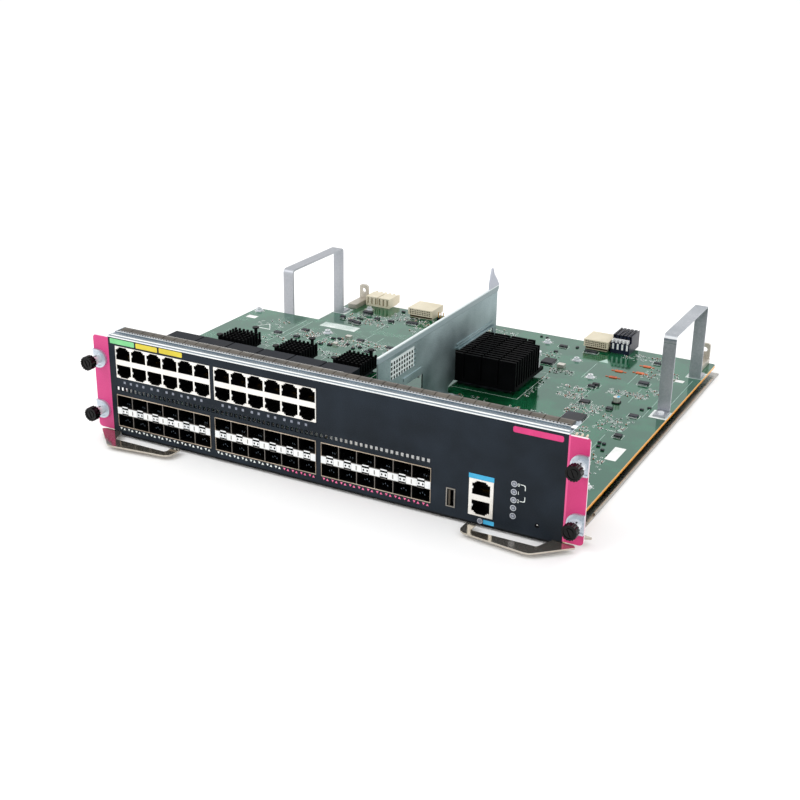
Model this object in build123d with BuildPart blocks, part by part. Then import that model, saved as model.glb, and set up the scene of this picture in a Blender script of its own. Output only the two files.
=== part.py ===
from build123d import *
import math
import os

os.makedirs("parts", exist_ok=True)

# Sizes are in millimetres. X runs along the front panel from its middle, Y goes back from
# the panel's front face, and Z goes up from the panel's lower edge.

# Front panel and the ears at its ends
panel_wide = 369.6
panel_tall = 78.9
sheet = 1.5
corner_notch = 7.0
corner_notch_tall = 2.8
ear_reach = 14.4
ear_low = 3.3
ear_top_drop = 0.2
ear_corner = 3.0
ear_tab = 3.4
tab_sheet = 1.2

# Boards; the side gap is what the board's edge stays inside the panel's end
board_side_gap = 0.7
board_sheet = 2.6
board_gap = 3.2
board_corner = 3.0
deck_z = 6.5
deck_back = 371.0
upper_z = 46.5
upper_right = 7.6
upper_back = 198.0

# Ports
columns = 6
port_pitch = 14.43
fit_gap = 0.2
nose_proud = 0.25
nose_deep = 0.3
jack_base = 0.9
jack_tall = 25.4
jack_deep = 38.0
jack_middle = -90.0
jack_group_pitch = 90.2
jack_open_wide = 13.15
jack_open_tall = 8.2
jack_step = 1.0
jack_step_wide = 9.7
jack_notch = 1.0
jack_notch_wide = 7.3
jack_bar = 4.2
jack_pocket = 13.0
cage_base = 0.8
cage_tall = 26.1
cage_deep = 48.0
cage_first = -136.4
cage_pitch = 90.95
cage_wall = 0.5
cage_strip = 6.2
cage_pocket = 44.0
latch_wide = 5.8
latch_pocket = 1.2
tie_wide = 5.2
tie_sheet = 0.9

# Small things on the panel
vent_count = 67
vent_pitch = 4.012
vent_wide = 2.8
vent_tall = 3.2
vent_first = -178.4
vent_z = 38.2
light_z = 44.1
light_size = 1.9
usb_x = 103.9
usb_wide = 6.8
usb_tall = 14.0
usb_z = 15.2
usb_deep = 14.0
usb_wall = 0.8
control_x = 126.2
control_wide = 17.8
control_low = 6.6
control_tall = 26.8
control_deep = 24.0
lamp_x = 149.5
lamp_r = 1.3
lamp_top = 36.2
lamp_pitch = 5.85
reset_x = 166.9
reset_z = 10.1
reset_r = 1.3
reset_travel = 0.4
slide_gap = 0.05

# Strip and spring gasket on the top edge
strip_sheet = 1.0
strip_deep = 20.6
strip_over = 0.3
strip_leg = 5.4
strip_rib = 1.1
strip_rib_tall = 0.7
strip_end = 1.2
gasket_front = 10.2
gasket_deep = 9.4
gasket_in = 2.8
gasket_count = 37
gasket_high = 1.9
finger_gap = 0.6

# Tray; it stands out past the panel's ends and steps up behind the panel
tray_over = 3.3
tray_low = -2.0
tray_sheet = 1.2
tray_lip = 0.2
tray_step = 5.6
tray_corner = 33.5
tray_corner_in = 38.8
tray_back_gap = 2.0
tray_rim = 1.4
tray_rim_in = 20.0

# Ejector levers
lever_sheet = 1.2
lever_low = 1.3
pivot_in = 0.8
pivot_y = 9.0
pin_r = 2.0
running_gap = 0.05
pin_head_r = 3.4
pin_head = 0.4
lug_sheet = 1.0
lug_deep = 12.5
lug_in = 14.0
lug_out = 3.0

# Captive screws
screw_out = 9.5
screw_low = 18.7
screw_high = 60.0
neck_r = 1.6
thread_r = 2.0
thread_long = 4.0
thread_step = 0.3
sleeve_r = 3.7
sleeve_out = 8.9
seat_sheet = 1.2
seat_tall = 14.4
seat_rim = 1.5
seat_rim_tall = 0.7
knob_r = 5.5
knob_flute = 0.5
knob_long = 5.5
knob_front = 1.5
knob_gap = 0.8
knob_clear = 0.35
knob_groove = 0.5
ring_r = 3.2
ring_sheet = 0.8
ring_gap = 0.5

# Divider wall
wall_x = 10.0
wall_sheet = 1.2
wall_front = 68.0
wall_front_low = 18.0
wall_back = 281.7
wall_top = 76.0
wall_low = 12.5
window_front = 108.0
window_back = 141.0
window_top = 40.2
hem_tall = 5.1
hem_proud = 0.5
foot_front = 174.0
foot_back = 188.0
foot_long = 10.0
notch_front = 200.0
notch_back = 275.0
notch_top = 41.6
lip = 3.0
rib_proud = 0.8

# Heat sinks
sink_x = 29.5
sink_y = 240.2
sink_side = 62.0
sink_low = 11.0
sink_plate = 3.0
sink_top = 36.0
sink_fins = 13
sink_cut_wide = 8.5
sink_cut_deep = 11.0
fin_sheet = 1.8
fin_slot = 1.1
large_chip_side = 48.0
small_sink_side = 24.5
small_sink_y = 99.5
small_sink_x = -134.8
small_sink_pitch = 53.7
small_sink_lift = 3.2
small_sink_plate = 1.8
small_sink_tall = 13.6
small_sink_pins = 7
small_chip_side = 20.0
pin_side = 1.5
push_shift = 5.4
push_head_r = 2.7
push_head = 1.1
push_r = 1.5
push_tall = 14.9
push_short = 11.5

# Transformer blocks behind the jacks
block_first = 4.9
block_pitch = 28.4
block_gap = 1.2
block_front = 44.0
block_deep = 32.0
block_tall = 15.5

# Brackets
arch_in = 6.5
arch_strip = 10.2
arch_sheet = 1.6
arch_front = 238.5
arch_back = 328.6
arch_top = 72.6
arch_bend = 4.0
arch_foot = 12.0

# Screw heads and the pieces that hold the boards
washer_r = 3.2
washer_sheet = 0.8
head_r = 2.4
head_tall = 1.8
small_head_r = 2.7
small_head_tall = 1.6
sink_screw_tall = 12.0
spacer_r = 3.4
post_r = 3.2

# Rear connectors, measured from the board's rear edge
header_low = 9.4
header_top = 16.0
header_front = 20.0
header_foot_front = 18.0
pin_hole_pitch = 1.86
pin_hole_rise = 1.75
pin_hole_deep = 2.0
white_front = 8.0
white_back = 9.0
white_teeth = 5.0
black_front = 17.0
black_step = 11.4
black_back = 10.5
black_top = 22.0
guide_in = 10.7
guide_wide = 9.2
guide_front = 24.5
guide_back = 1.2
guide_block_top = 11.0
guide_tab_z = 17.4
guide_tab_tall = 14.6
guide_tab_sheet = 2.6
guide_hole_z = 19.0
guide_hole_r = 2.3

half = panel_wide / 2
board_half = half - board_side_gap
tray_half = half + tray_over
strip_half = half + strip_over
screw_x = half + screw_out
pivot_x = half - pivot_in
arch_x = board_half - arch_in
guide_x = board_half - guide_in
deck_low = deck_z - board_sheet
upper_low = upper_z - board_sheet
strip_z = panel_tall + strip_sheet
group_wide = columns * port_pitch
jack_low = upper_z + jack_base
jack_mid = jack_low + jack_tall / 2
jack_xs = [jack_middle - jack_group_pitch / 2, jack_middle + jack_group_pitch / 2]
cage_low = deck_z + cage_base
cage_xs = [cage_first + n * cage_pitch for n in range(3)]
cage_mid = cage_low + cage_tall / 2
control_mid = control_low + control_tall / 2
screw_spots = [(-screw_x, screw_high), (-screw_x, screw_low),
               (screw_x, screw_high), (screw_x, screw_low)]


def brick(x0, x1, y0, y1, z0, z1, mode=Mode.ADD):
    with Locations(((x0 + x1) / 2, (y0 + y1) / 2, (z0 + z1) / 2)):
        Box(abs(x1 - x0), abs(y1 - y0), abs(z1 - z0), mode=mode)


def face_on(y):
    return Plane(origin=(0, y, 0), x_dir=(1, 0, 0), z_dir=(0, -1, 0))


def side_on(x):
    return Plane(origin=(x, 0, 0), x_dir=(0, 1, 0), z_dir=(1, 0, 0))


def flat_on(z):
    return Plane.XY.offset(z)


def column_xs(middle):
    return [middle + (n - (columns - 1) / 2) * port_pitch for n in range(columns)]


def save(made, name):
    made.label = name
    export_step(made, "parts/" + name + ".step")


# Mouth of one jack: a wide opening, a step and the notch for the plug's latch, added to a sketch
def jack_mouth(x, middle, up):
    base = middle + up * jack_bar / 2
    joint = 0.01
    for wide, tall in ((jack_open_wide, jack_open_tall), (jack_step_wide, jack_step),
                       (jack_notch_wide, jack_notch)):
        with Locations((x, base + up * tall / 2)):
            Rectangle(wide, tall)
        base = base + up * (tall - joint)


# Places of the twelve lights under one group of jacks, from the group's middle
light_steps = [-36.3, -30.4, -24.5, -18.6, -10.8, -4.9, 3.2, 9.1, 16.9, 22.9, 28.9, 34.9]
light_spots = [(x + step, light_z) for x in jack_xs for step in light_steps]
vent_spots = [(vent_first + n * vent_pitch, vent_z) for n in range(vent_count)]
lamp_spots = [(lamp_x, lamp_top - n * lamp_pitch) for n in range(5)]

# Front panel, one black sheet with a window for each group of ports and, for the levers,
# a notch in each lower corner
with BuildPart() as front_panel:
    with BuildSketch(face_on(0)):
        with Locations((0, panel_tall / 2)):
            Rectangle(panel_wide, panel_tall)
        with Locations(*[(side * (half - corner_notch / 2), corner_notch_tall / 2) for side in (-1, 1)]):
            Rectangle(corner_notch, corner_notch_tall, mode=Mode.SUBTRACT)
        with Locations(*[(x, jack_mid) for x in jack_xs]):
            Rectangle(group_wide + 2 * fit_gap, jack_tall + 2 * fit_gap, mode=Mode.SUBTRACT)
        with Locations(*[(x, cage_mid) for x in cage_xs]):
            Rectangle(group_wide + 2 * fit_gap, cage_tall + 2 * fit_gap, mode=Mode.SUBTRACT)
        with Locations((usb_x, usb_z)):
            Rectangle(usb_wide + 2 * fit_gap, usb_tall + 2 * fit_gap, mode=Mode.SUBTRACT)
        with Locations((control_x, control_mid)):
            Rectangle(control_wide + 2 * fit_gap, control_tall + 2 * fit_gap, mode=Mode.SUBTRACT)
        with Locations(*vent_spots):
            Rectangle(vent_wide, vent_tall, mode=Mode.SUBTRACT)
        with Locations(*light_spots):
            Rectangle(light_size, light_size, mode=Mode.SUBTRACT)
        with Locations(*lamp_spots):
            RegularPolygon(lamp_r, 12, mode=Mode.SUBTRACT)
        with Locations((reset_x, reset_z)):
            Circle(reset_r, mode=Mode.SUBTRACT)
    extrude(amount=-sheet)
save(front_panel.part, "front_panel")

# Ears, the painted end plates with two screw holes each, held by two tabs behind the panel
for side, name in ((-1, "ear_left"), (1, "ear_right")):
    with BuildPart() as ear:
        ear_tall = panel_tall - ear_top_drop - ear_low
        with BuildSketch(face_on(0)):
            with Locations((side * (half + ear_reach / 2), ear_low + ear_tall / 2)):
                Rectangle(ear_reach, ear_tall)
            with Locations(*[(side * screw_x, z) for z in (screw_low, screw_high)]):
                RegularPolygon(sleeve_r, 24, mode=Mode.SUBTRACT)
        extrude(amount=-sheet)
        outer = ear.edges().filter_by(Axis.Y).group_by(Axis.X)[-1 if side > 0 else 0]
        fillet(outer, ear_corner)
        tab_near = side * (half - ear_tab)
        tab_far = side * (half + ear_reach / 6)
        brick(tab_near, tab_far, sheet, sheet + tab_sheet, jack_low, panel_tall - strip_leg - 1)
        brick(tab_near, tab_far, sheet, sheet + tab_sheet, cage_low + cage_tall, upper_low - 1)
    save(ear.part, name)

# Top strip, an angle whose short leg hangs behind the panel, with a rib before the gasket
with BuildPart() as top_strip:
    brick(-strip_half, strip_half, 0, strip_deep, panel_tall, strip_z)
    brick(1 - half, half - 1, sheet, sheet + strip_sheet, panel_tall - strip_leg, panel_tall)
    fillet(top_strip.edges().filter_by(Axis.X).group_by(Axis.Z)[-1].sort_by(Axis.Y)[0],
           0.8 * strip_sheet)
    brick(-strip_half, strip_half, gasket_front - strip_rib - fit_gap, gasket_front - fit_gap,
          strip_z, strip_z + strip_rib_tall)
    for side in (-1, 1):
        brick(side * strip_half, side * (strip_half - strip_end), gasket_front, strip_deep,
              strip_z, strip_z + strip_rib_tall)
save(top_strip.part, "top_strip")

# Spring gasket, a row of bowed fingers on one thin strip
gasket_half = half - gasket_in
finger_pitch = 2 * gasket_half / gasket_count
with BuildPart() as gasket:
    with BuildSketch(side_on(-gasket_half)):
        with BuildLine():
            Polyline((gasket_front, strip_z), (gasket_front + gasket_deep, strip_z),
                     (gasket_front + gasket_deep, strip_z + 0.4 * gasket_high),
                     (gasket_front + 0.82 * gasket_deep, strip_z + 0.85 * gasket_high),
                     (gasket_front + 0.55 * gasket_deep, strip_z + gasket_high),
                     (gasket_front + 0.25 * gasket_deep, strip_z + 0.75 * gasket_high),
                     (gasket_front, strip_z + 0.25 * gasket_high), close=True)
        make_face()
    extrude(amount=2 * gasket_half)
    with Locations(*[(n * finger_pitch - gasket_half, gasket_front + gasket_deep / 2,
                      strip_z + 0.62 * gasket_high) for n in range(1, gasket_count)]):
        Box(finger_gap, gasket_deep + 1, 0.8 * gasket_high, mode=Mode.SUBTRACT)
save(gasket.part, "gasket_strip")

# Jack blocks, six columns of two sockets with the latch notch facing outwards
for x, name in zip(jack_xs, ("jack_block_left", "jack_block_right")):
    with BuildPart() as jacks:
        brick(x - group_wide / 2, x + group_wide / 2, -nose_proud, sheet + nose_deep,
              jack_low, jack_low + jack_tall)
        brick(x - group_wide / 2, x + group_wide / 2, sheet + nose_deep, jack_deep,
              upper_z, jack_low + jack_tall)
        with BuildSketch(face_on(-nose_proud)):
            for cx in column_xs(x):
                jack_mouth(cx, jack_mid, -1)
                jack_mouth(cx, jack_mid, 1)
        extrude(amount=-jack_pocket, mode=Mode.SUBTRACT)
    save(jacks.part, name)

# Port cages, six columns of two deep openings with a strip between them
port_tall = (cage_tall - cage_strip) / 2 - cage_wall
for x, name in zip(cage_xs, ("port_cage_left", "port_cage_middle", "port_cage_right")):
    with BuildPart() as cage:
        brick(x - group_wide / 2, x + group_wide / 2, -nose_proud, sheet + nose_deep,
              cage_low, cage_low + cage_tall)
        brick(x - group_wide / 2, x + group_wide / 2, sheet + nose_deep, cage_deep,
              deck_z, cage_low + cage_tall)
        with BuildSketch(face_on(-nose_proud)):
            for up in (-1, 1):
                z = cage_mid + up * (cage_strip + port_tall) / 2
                with Locations(*[(cx, z) for cx in column_xs(x)]):
                    Rectangle(port_pitch - cage_wall, port_tall)
        extrude(amount=-cage_pocket, mode=Mode.SUBTRACT)
        with BuildSketch(face_on(-nose_proud)):
            with Locations(*[(cx, cage_mid) for cx in column_xs(x)]):
                Rectangle(latch_wide, cage_strip - 2 * cage_wall)
        extrude(amount=-latch_pocket, mode=Mode.SUBTRACT)
    save(cage.part, name)

# Light guides, a bow-tie piece and a bar in each pocket of the strip between the openings
tie_half = cage_strip / 2 - cage_wall - 0.1
with BuildPart() as guides:
    with BuildSketch(face_on(latch_pocket - nose_proud - tie_sheet)):
        for cx in [cx for x in cage_xs for cx in column_xs(x)]:
            with BuildLine():
                Polyline((cx - 0.42 * tie_wide, cage_mid - tie_half),
                         (cx + 0.42 * tie_wide, cage_mid - tie_half),
                         (cx + 0.14 * tie_wide, cage_mid - 0.35 * tie_half),
                         (cx + 0.42 * tie_wide, cage_mid + 0.3 * tie_half),
                         (cx - 0.42 * tie_wide, cage_mid + 0.3 * tie_half),
                         (cx - 0.14 * tie_wide, cage_mid - 0.35 * tie_half), close=True)
            make_face()
            with Locations((cx, cage_mid + 0.8 * tie_half)):
                Rectangle(tie_wide, 0.4 * tie_half)
    extrude(amount=-tie_sheet)
save(guides.part, "light_guides")

# Small square windows under the jacks
light_proud = 0.05
with BuildPart() as lights:
    with BuildSketch(face_on(-light_proud)):
        with Locations(*light_spots):
            Rectangle(light_size, light_size)
    extrude(amount=-(sheet + light_proud))
save(lights.part, "jack_lights")

# Socket that stands upright, a shell with a tongue inside and a foot on the board
with BuildPart() as usb:
    usb_inside = usb_wide / 2 - usb_wall
    brick(usb_x - usb_wide / 2, usb_x + usb_wide / 2, -nose_proud, usb_deep,
          usb_z - usb_tall / 2, usb_z + usb_tall / 2)
    brick(usb_x - usb_inside, usb_x + usb_inside, sheet + 0.7, usb_deep, deck_z, usb_z)
    brick(usb_x - usb_inside, usb_x + usb_inside, -nose_proud, usb_deep - 2,
          usb_z - usb_tall / 2 + usb_wall, usb_z + usb_tall / 2 - usb_wall, mode=Mode.SUBTRACT)
    brick(usb_x + usb_inside - 1.6, usb_x + usb_inside - 0.4, 2, usb_deep - 1,
          usb_z - usb_tall / 2 + 2, usb_z + usb_tall / 2 - 2)
save(usb.part, "usb_socket")

# Pair of stacked management jacks
with BuildPart() as control:
    brick(control_x - control_wide / 2, control_x + control_wide / 2, -nose_proud, control_deep,
          control_low, control_low + control_tall)
    brick(control_x - control_wide / 2 + 1, control_x + control_wide / 2 - 1, sheet + 0.7,
          control_deep, deck_z, control_low + 2)
    with BuildSketch(face_on(-nose_proud)):
        jack_mouth(control_x, control_mid, -1)
        jack_mouth(control_x, control_mid, 1)
    extrude(amount=-jack_pocket, mode=Mode.SUBTRACT)
save(control.part, "control_jacks")

# Five status lamps, each a short light pipe
lamp_proud = 0.2
with BuildPart() as lamps:
    with BuildSketch(face_on(-lamp_proud)):
        with Locations(*lamp_spots):
            RegularPolygon(lamp_r, 12)
    extrude(amount=-(sheet + 3 * lamp_proud))
save(lamps.part, "status_lamps")

# Reset switch behind its hole, and the button that slides in it
button_r = reset_r - 0.3
switch_front = sheet + 1
switch_half = 3.0
switch_bore = 4.0
with BuildPart() as switch:
    brick(reset_x - switch_half, reset_x + switch_half, switch_front,
          switch_front + 2 * switch_half, deck_z, reset_z + switch_half)
    with BuildSketch(face_on(switch_front)):
        with Locations((reset_x, reset_z)):
            Circle(button_r + slide_gap)
    extrude(amount=-switch_bore, mode=Mode.SUBTRACT)
save(switch.part, "reset_switch")
button_front = 0.5
with BuildPart() as button:
    with BuildSketch(face_on(button_front)):
        with Locations((reset_x, reset_z)):
            Circle(button_r)
    extrude(amount=-(switch_front + switch_bore - fit_gap - reset_travel - button_front))
save(button.part, "reset_button")

# Main board and the upper board
with BuildPart() as main_board:
    brick(-board_half, board_half, board_gap, deck_back, deck_low, deck_z)
    fillet(main_board.edges().filter_by(Axis.Z).group_by(Axis.Y)[-1], board_corner)
save(main_board.part, "main_board")
with BuildPart() as upper_board:
    brick(-board_half, upper_right, board_gap, upper_back, upper_low, upper_z)
save(upper_board.part, "upper_board")

# Tray: a floor with rims at its sides, cut back at the front corners for the levers, and
# stepped up behind the panel to a flange on the panel's back
tray_back = deck_back - tray_back_gap
tray_in = half - tray_corner_in
tray_top = tray_low + tray_sheet
with BuildPart() as tray:
    brick(-tray_half, tray_half, tray_corner, tray_back, tray_low, tray_top)
    brick(-tray_in, tray_in, tray_step, tray_corner, tray_low, tray_top)
    brick(-tray_in, tray_in, tray_step, tray_step + tray_sheet, tray_low, tray_lip + tray_sheet)
    brick(-tray_in, tray_in, sheet, tray_step, tray_lip, tray_lip + tray_sheet)
    brick(-tray_in, tray_in, sheet, sheet + tray_sheet, tray_lip, deck_low)
    for side in (-1, 1):
        brick(side * tray_half, side * (tray_half - tray_sheet), tray_corner + tray_rim_in,
              tray_back - tray_rim_in, tray_top, tray_top + tray_rim)
save(tray.part, "tray")

# Spacers under the main board, in rows from the board's sides
spacer_in = 12.1
spacer_rows = [78.7, 215.0, deck_back - 19]
spacer_spots = [(side * x, y) for side in (-1, 1) for x in (60, board_half - spacer_in)
                for y in spacer_rows]
with BuildPart() as spacers:
    with BuildSketch(flat_on(tray_top)):
        with Locations(*spacer_spots):
            RegularPolygon(spacer_r, 6)
    extrude(amount=deck_low - tray_top)
save(spacers.part, "board_spacers")

# Posts between the two boards
post_in = 5.4
post_left = post_in - board_half
post_right = upper_right - 11.6
post_spots = [(post_left, 192.5), (-95.5, 171.4), (post_right, 190), (post_left, 62),
              (post_right, 62)]
with BuildPart() as posts:
    with BuildSketch(flat_on(deck_z)):
        with Locations(*post_spots):
            RegularPolygon(post_r, 6)
    extrude(amount=upper_low - deck_z)
save(posts.part, "upper_posts")

# Divider wall, one folded sheet: a hem along its top, a window, a notch over the heat sink,
# two feet, stiffening ribs and a tab at the rear
wall_left = wall_x - wall_sheet
notch_mid = (notch_front + notch_back) / 2
with BuildPart() as wall:
    with BuildSketch(side_on(wall_x)):
        with BuildLine():
            Polyline((wall_front, wall_top), (wall_front, wall_front_low),
                     (window_front, wall_front_low), (window_front, window_top),
                     (window_back, window_top), (window_back, wall_low), (foot_front, wall_low),
                     (foot_front, deck_z), (foot_back, deck_z), (foot_back, wall_low + 1.1),
                     (notch_front, wall_low + 3.5), (notch_front, notch_top),
                     (notch_back, notch_top), (notch_back, deck_z), (wall_back, deck_z),
                     (wall_back, wall_top), close=True)
        make_face()
        with Locations(*[(window_front - 18.8 + n * 4.12, window_top + 12.7 + m * 3.8)
                         for n in range(10) for m in range(4)]):
            Rectangle(2.7, 2.6, mode=Mode.SUBTRACT)
    extrude(amount=-wall_sheet)
    brick(wall_x, wall_x + hem_proud, wall_front, wall_back, wall_top - hem_tall, wall_top)
    brick(wall_x, wall_x + rib_proud, window_front, window_back - 4, window_top + 3.6,
          window_top + 6.6)
    brick(wall_x, wall_x + lip, notch_front + 1, notch_back - 2, notch_top, notch_top + 1)
    brick(wall_x, wall_x + rib_proud, notch_front + 2, notch_back - 2, notch_top + 2.1,
          notch_top + 4.3)
    brick(wall_x - 0.2, wall_x + foot_long, foot_front + 2, foot_back, deck_z,
          deck_z + wall_sheet)
    brick(wall_left - foot_long + 1, wall_left + 0.2, notch_back, wall_back, deck_z,
          deck_z + wall_sheet)
    with BuildSketch(side_on(wall_x + hem_proud)):
        with BuildLine():
            Polyline((wall_back - 17.7, wall_top - 1), (wall_back - 17.5, wall_top + 6),
                     (wall_back - 15.4, wall_top + 13), (wall_back - 13.3, wall_top + 18.2),
                     (wall_back - 11.5, wall_top + 17.8), (wall_back - 8.7, wall_top + 12),
                     (wall_back - 2.7, wall_top + 6), (wall_back + 1.7, wall_top + 0.6),
                     (wall_back + 1.5, wall_top - 3), (wall_back - 0.2, wall_top - hem_tall),
                     close=True)
        make_face()
    extrude(amount=-wall_sheet)
save(wall.part, "divider_wall")

# Finned heat sink on the chip it cools
sink_left = sink_x - sink_side / 2
sink_front = sink_y - sink_side / 2
sink_right = sink_left + sink_side
sink_rear = sink_front + sink_side
with BuildPart() as sink:
    brick(sink_left, sink_right, sink_front, sink_rear, sink_low, sink_low + sink_plate)
    fin_pitch = (sink_side - fin_sheet) / (sink_fins - 1)
    with BuildSketch(flat_on(sink_low + sink_plate)):
        with Locations(*[(sink_x, sink_front + fin_sheet / 2 + n * fin_pitch)
                         for n in range(sink_fins)]):
            Rectangle(sink_side, fin_sheet)
        with Locations(*[(sink_x + m * sink_side / 4, sink_y) for m in (-1, 0, 1)]):
            Rectangle(fin_slot, sink_side + 2, mode=Mode.SUBTRACT)
    extrude(amount=sink_top - sink_low - sink_plate)
    brick(sink_right - sink_cut_wide, sink_right, sink_rear - sink_cut_deep, sink_rear,
          sink_low + sink_plate, sink_top, mode=Mode.SUBTRACT)
save(sink.part, "heat_sink")

# Three pin heat sinks on the upper board, each on its chip with two push pins
small_low = upper_z + small_sink_lift
small_xs = [small_sink_x + n * small_sink_pitch for n in range(3)]
small_half = small_sink_side / 2
pin_pitch = (small_sink_side - pin_side) / (small_sink_pins - 1)
pin_steps = [(n - (small_sink_pins - 1) / 2) * pin_pitch for n in range(small_sink_pins)]
push_out = small_half + push_head_r + 0.4
for x, name in zip(small_xs, ("pin_sink_left", "pin_sink_middle", "pin_sink_right")):
    with BuildPart() as pins:
        brick(x - small_half, x + small_half, small_sink_y - small_half,
              small_sink_y + small_half, small_low, small_low + small_sink_plate)
        with BuildSketch(flat_on(small_low + small_sink_plate)):
            with Locations(*[(x + dx, small_sink_y + dy) for dx in pin_steps for dy in pin_steps]):
                Rectangle(pin_side, pin_side)
        extrude(amount=small_sink_tall - small_sink_lift - small_sink_plate)
        with BuildSketch(flat_on(small_low)):
            with Locations((x + push_shift, small_sink_y + push_out - 0.5)):
                Rectangle(7, 6)
            with Locations((x - push_out + 0.5, small_sink_y - push_shift)):
                Rectangle(6, 7)
        extrude(amount=small_sink_plate)
    save(pins.part, name)
with BuildPart() as push_pins:
    for x in small_xs:
        for dx, dy, tall in ((push_shift, push_out, push_tall),
                             (-push_out, -push_shift, push_short)):
            with BuildSketch(flat_on(small_low + small_sink_plate)):
                with Locations((x + dx, small_sink_y + dy)):
                    RegularPolygon(push_r, 6)
            extrude(amount=tall - small_sink_lift - small_sink_plate)
            with BuildSketch(flat_on(upper_z + tall)):
                with Locations((x + dx, small_sink_y + dy)):
                    RegularPolygon(push_head_r, 12)
            extrude(amount=push_head)
save(push_pins.part, "push_pins")

# Chips that the four heat sinks stand on
with BuildPart() as large_chips:
    with BuildSketch(flat_on(deck_z)):
        with Locations((sink_x, sink_y)):
            Rectangle(large_chip_side, large_chip_side)
    extrude(amount=sink_low - deck_z)
    with BuildSketch(flat_on(upper_z)):
        with Locations(*[(x, small_sink_y) for x in small_xs]):
            Rectangle(small_chip_side, small_chip_side)
    extrude(amount=small_sink_lift)
save(large_chips.part, "large_chips")

# Six covered transformer blocks behind the jacks
with BuildPart() as blocks:
    for n in range(6):
        left = block_first - board_half + n * block_pitch
        brick(left, left + block_pitch - block_gap, block_front, block_front + block_deep,
              upper_z, upper_z + block_tall)
save(blocks.part, "transformer_blocks")

# Arched brackets on the main board, one strip bent into a gate with two feet
for side, name in ((-1, "bracket_left"), (1, "bracket_right")):
    with BuildPart() as arch:
        left = side * arch_x - arch_strip / 2
        with BuildSketch(side_on(left)):
            with BuildLine():
                Polyline((arch_front, deck_z), (arch_front, arch_top), (arch_back, arch_top),
                         (arch_back, deck_z), close=True)
            make_face()
            fillet(vertices().group_by(Axis.Z)[-1], arch_bend)
            with BuildLine(mode=Mode.PRIVATE) as inner:
                Polyline((arch_front + arch_sheet, deck_z - 1),
                         (arch_front + arch_sheet, arch_top - arch_sheet),
                         (arch_back - arch_sheet, arch_top - arch_sheet),
                         (arch_back - arch_sheet, deck_z - 1), close=True)
            with BuildSketch(mode=Mode.PRIVATE) as hole:
                make_face(inner.edges())
                fillet(hole.vertices().group_by(Axis.Y)[-1], arch_bend - arch_sheet)
            add(hole.sketch, mode=Mode.SUBTRACT)
        extrude(amount=arch_strip)
        brick(left, left + arch_strip, arch_front - arch_foot, arch_front + arch_sheet, deck_z,
              deck_z + arch_sheet)
        brick(left, left + arch_strip, arch_back - arch_sheet, arch_back + arch_foot, deck_z,
              deck_z + arch_sheet)
    save(arch.part, name)

# Screws: through the boards, the brackets' feet, the wall's foot and the big heat sink
deck_screws = [(32.8, 350.3), (98.7, 284.9), (board_half - spacer_in, spacer_rows[0]),
               (73.3, 318.6), (-156.7, 352)]
foot_spots = [(side * arch_x, y) for side in (-1, 1)
              for y in (arch_front - arch_foot / 2 - 1, arch_back + arch_foot / 2 + 1)]
sink_spot = (sink_right - sink_cut_wide / 2, sink_rear - sink_cut_deep / 2)
with BuildPart() as screws:
    for level, spots in ((deck_z, deck_screws), (upper_z, post_spots[:3])):
        with BuildSketch(flat_on(level)):
            with Locations(*spots):
                RegularPolygon(washer_r, 12)
        extrude(amount=washer_sheet)
        with BuildSketch(flat_on(level + washer_sheet)):
            with Locations(*spots):
                RegularPolygon(head_r, 8)
        extrude(amount=head_tall)
    with BuildSketch(flat_on(deck_z + arch_sheet)):
        with Locations(*foot_spots):
            RegularPolygon(small_head_r, 10)
    extrude(amount=small_head_tall)
    with BuildSketch(flat_on(deck_z + wall_sheet)):
        with Locations((wall_x + foot_long / 2 + 0.6, (foot_front + 2 + foot_back) / 2)):
            RegularPolygon(small_head_r, 10)
    extrude(amount=small_head_tall)
    with BuildSketch(flat_on(sink_low + sink_plate)):
        with Locations(sink_spot):
            RegularPolygon(small_head_r, 10)
    extrude(amount=sink_screw_tall)
    with BuildSketch(flat_on(sink_low + sink_plate + sink_screw_tall)):
        with Locations(sink_spot):
            RegularPolygon(washer_r + 0.6, 12)
    extrude(amount=head_tall + 0.6)
save(screws.part, "board_screws")

# Rear connectors: two pin-field headers, each a block over a narrower foot
for name, left, wide, holes in (("header_left", -113.2, 25.7, 12),
                                ("header_right", 67.4, 23.0, 11)):
    with BuildPart() as header:
        front = deck_back - header_front
        brick(left, left + wide, front, deck_back + 4.5, header_low, header_top)
        brick(left + 1.2, left + wide - 1.2, deck_back - header_foot_front, deck_back - 1,
              deck_z, header_low)
        first = left + (wide - (holes - 1) * pin_hole_pitch) / 2
        with BuildSketch(face_on(front)):
            with Locations(*[(first + i * pin_hole_pitch, header_low + 1.5 + j * pin_hole_rise)
                             for i in range(holes) for j in range(3)]):
                Rectangle(1.2, 1.1)
        extrude(amount=-pin_hole_deep, mode=Mode.SUBTRACT)
    save(header.part, name)

# White power connector in two halves, with slots in front and teeth at the rear
white_left = -167.0
white_wide = 26.4
white_pitch = 4.3
with BuildPart() as power_white:
    front = deck_back - white_front
    back = deck_back + white_back
    brick(white_left, white_left + white_wide, front, back, deck_z, header_top)
    with BuildSketch(face_on(front)):
        with Locations(*[(white_left + 2.4 + i * white_pitch, deck_z + 5.1) for i in range(6)]):
            Rectangle(1.5, 6.6)
    extrude(amount=-3, mode=Mode.SUBTRACT)
    brick(white_left + white_wide / 2 - 0.5, white_left + white_wide / 2 + 0.5, front, back - 3,
          deck_z + 3, header_top, mode=Mode.SUBTRACT)
    for n in range(6):
        tooth = white_left + n * (white_wide - 1.8) / 5
        brick(tooth, tooth + 1.8, back, back + white_teeth, deck_z + 0.6, header_top - 0.6)
save(power_white.part, "power_connector_white")

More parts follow.
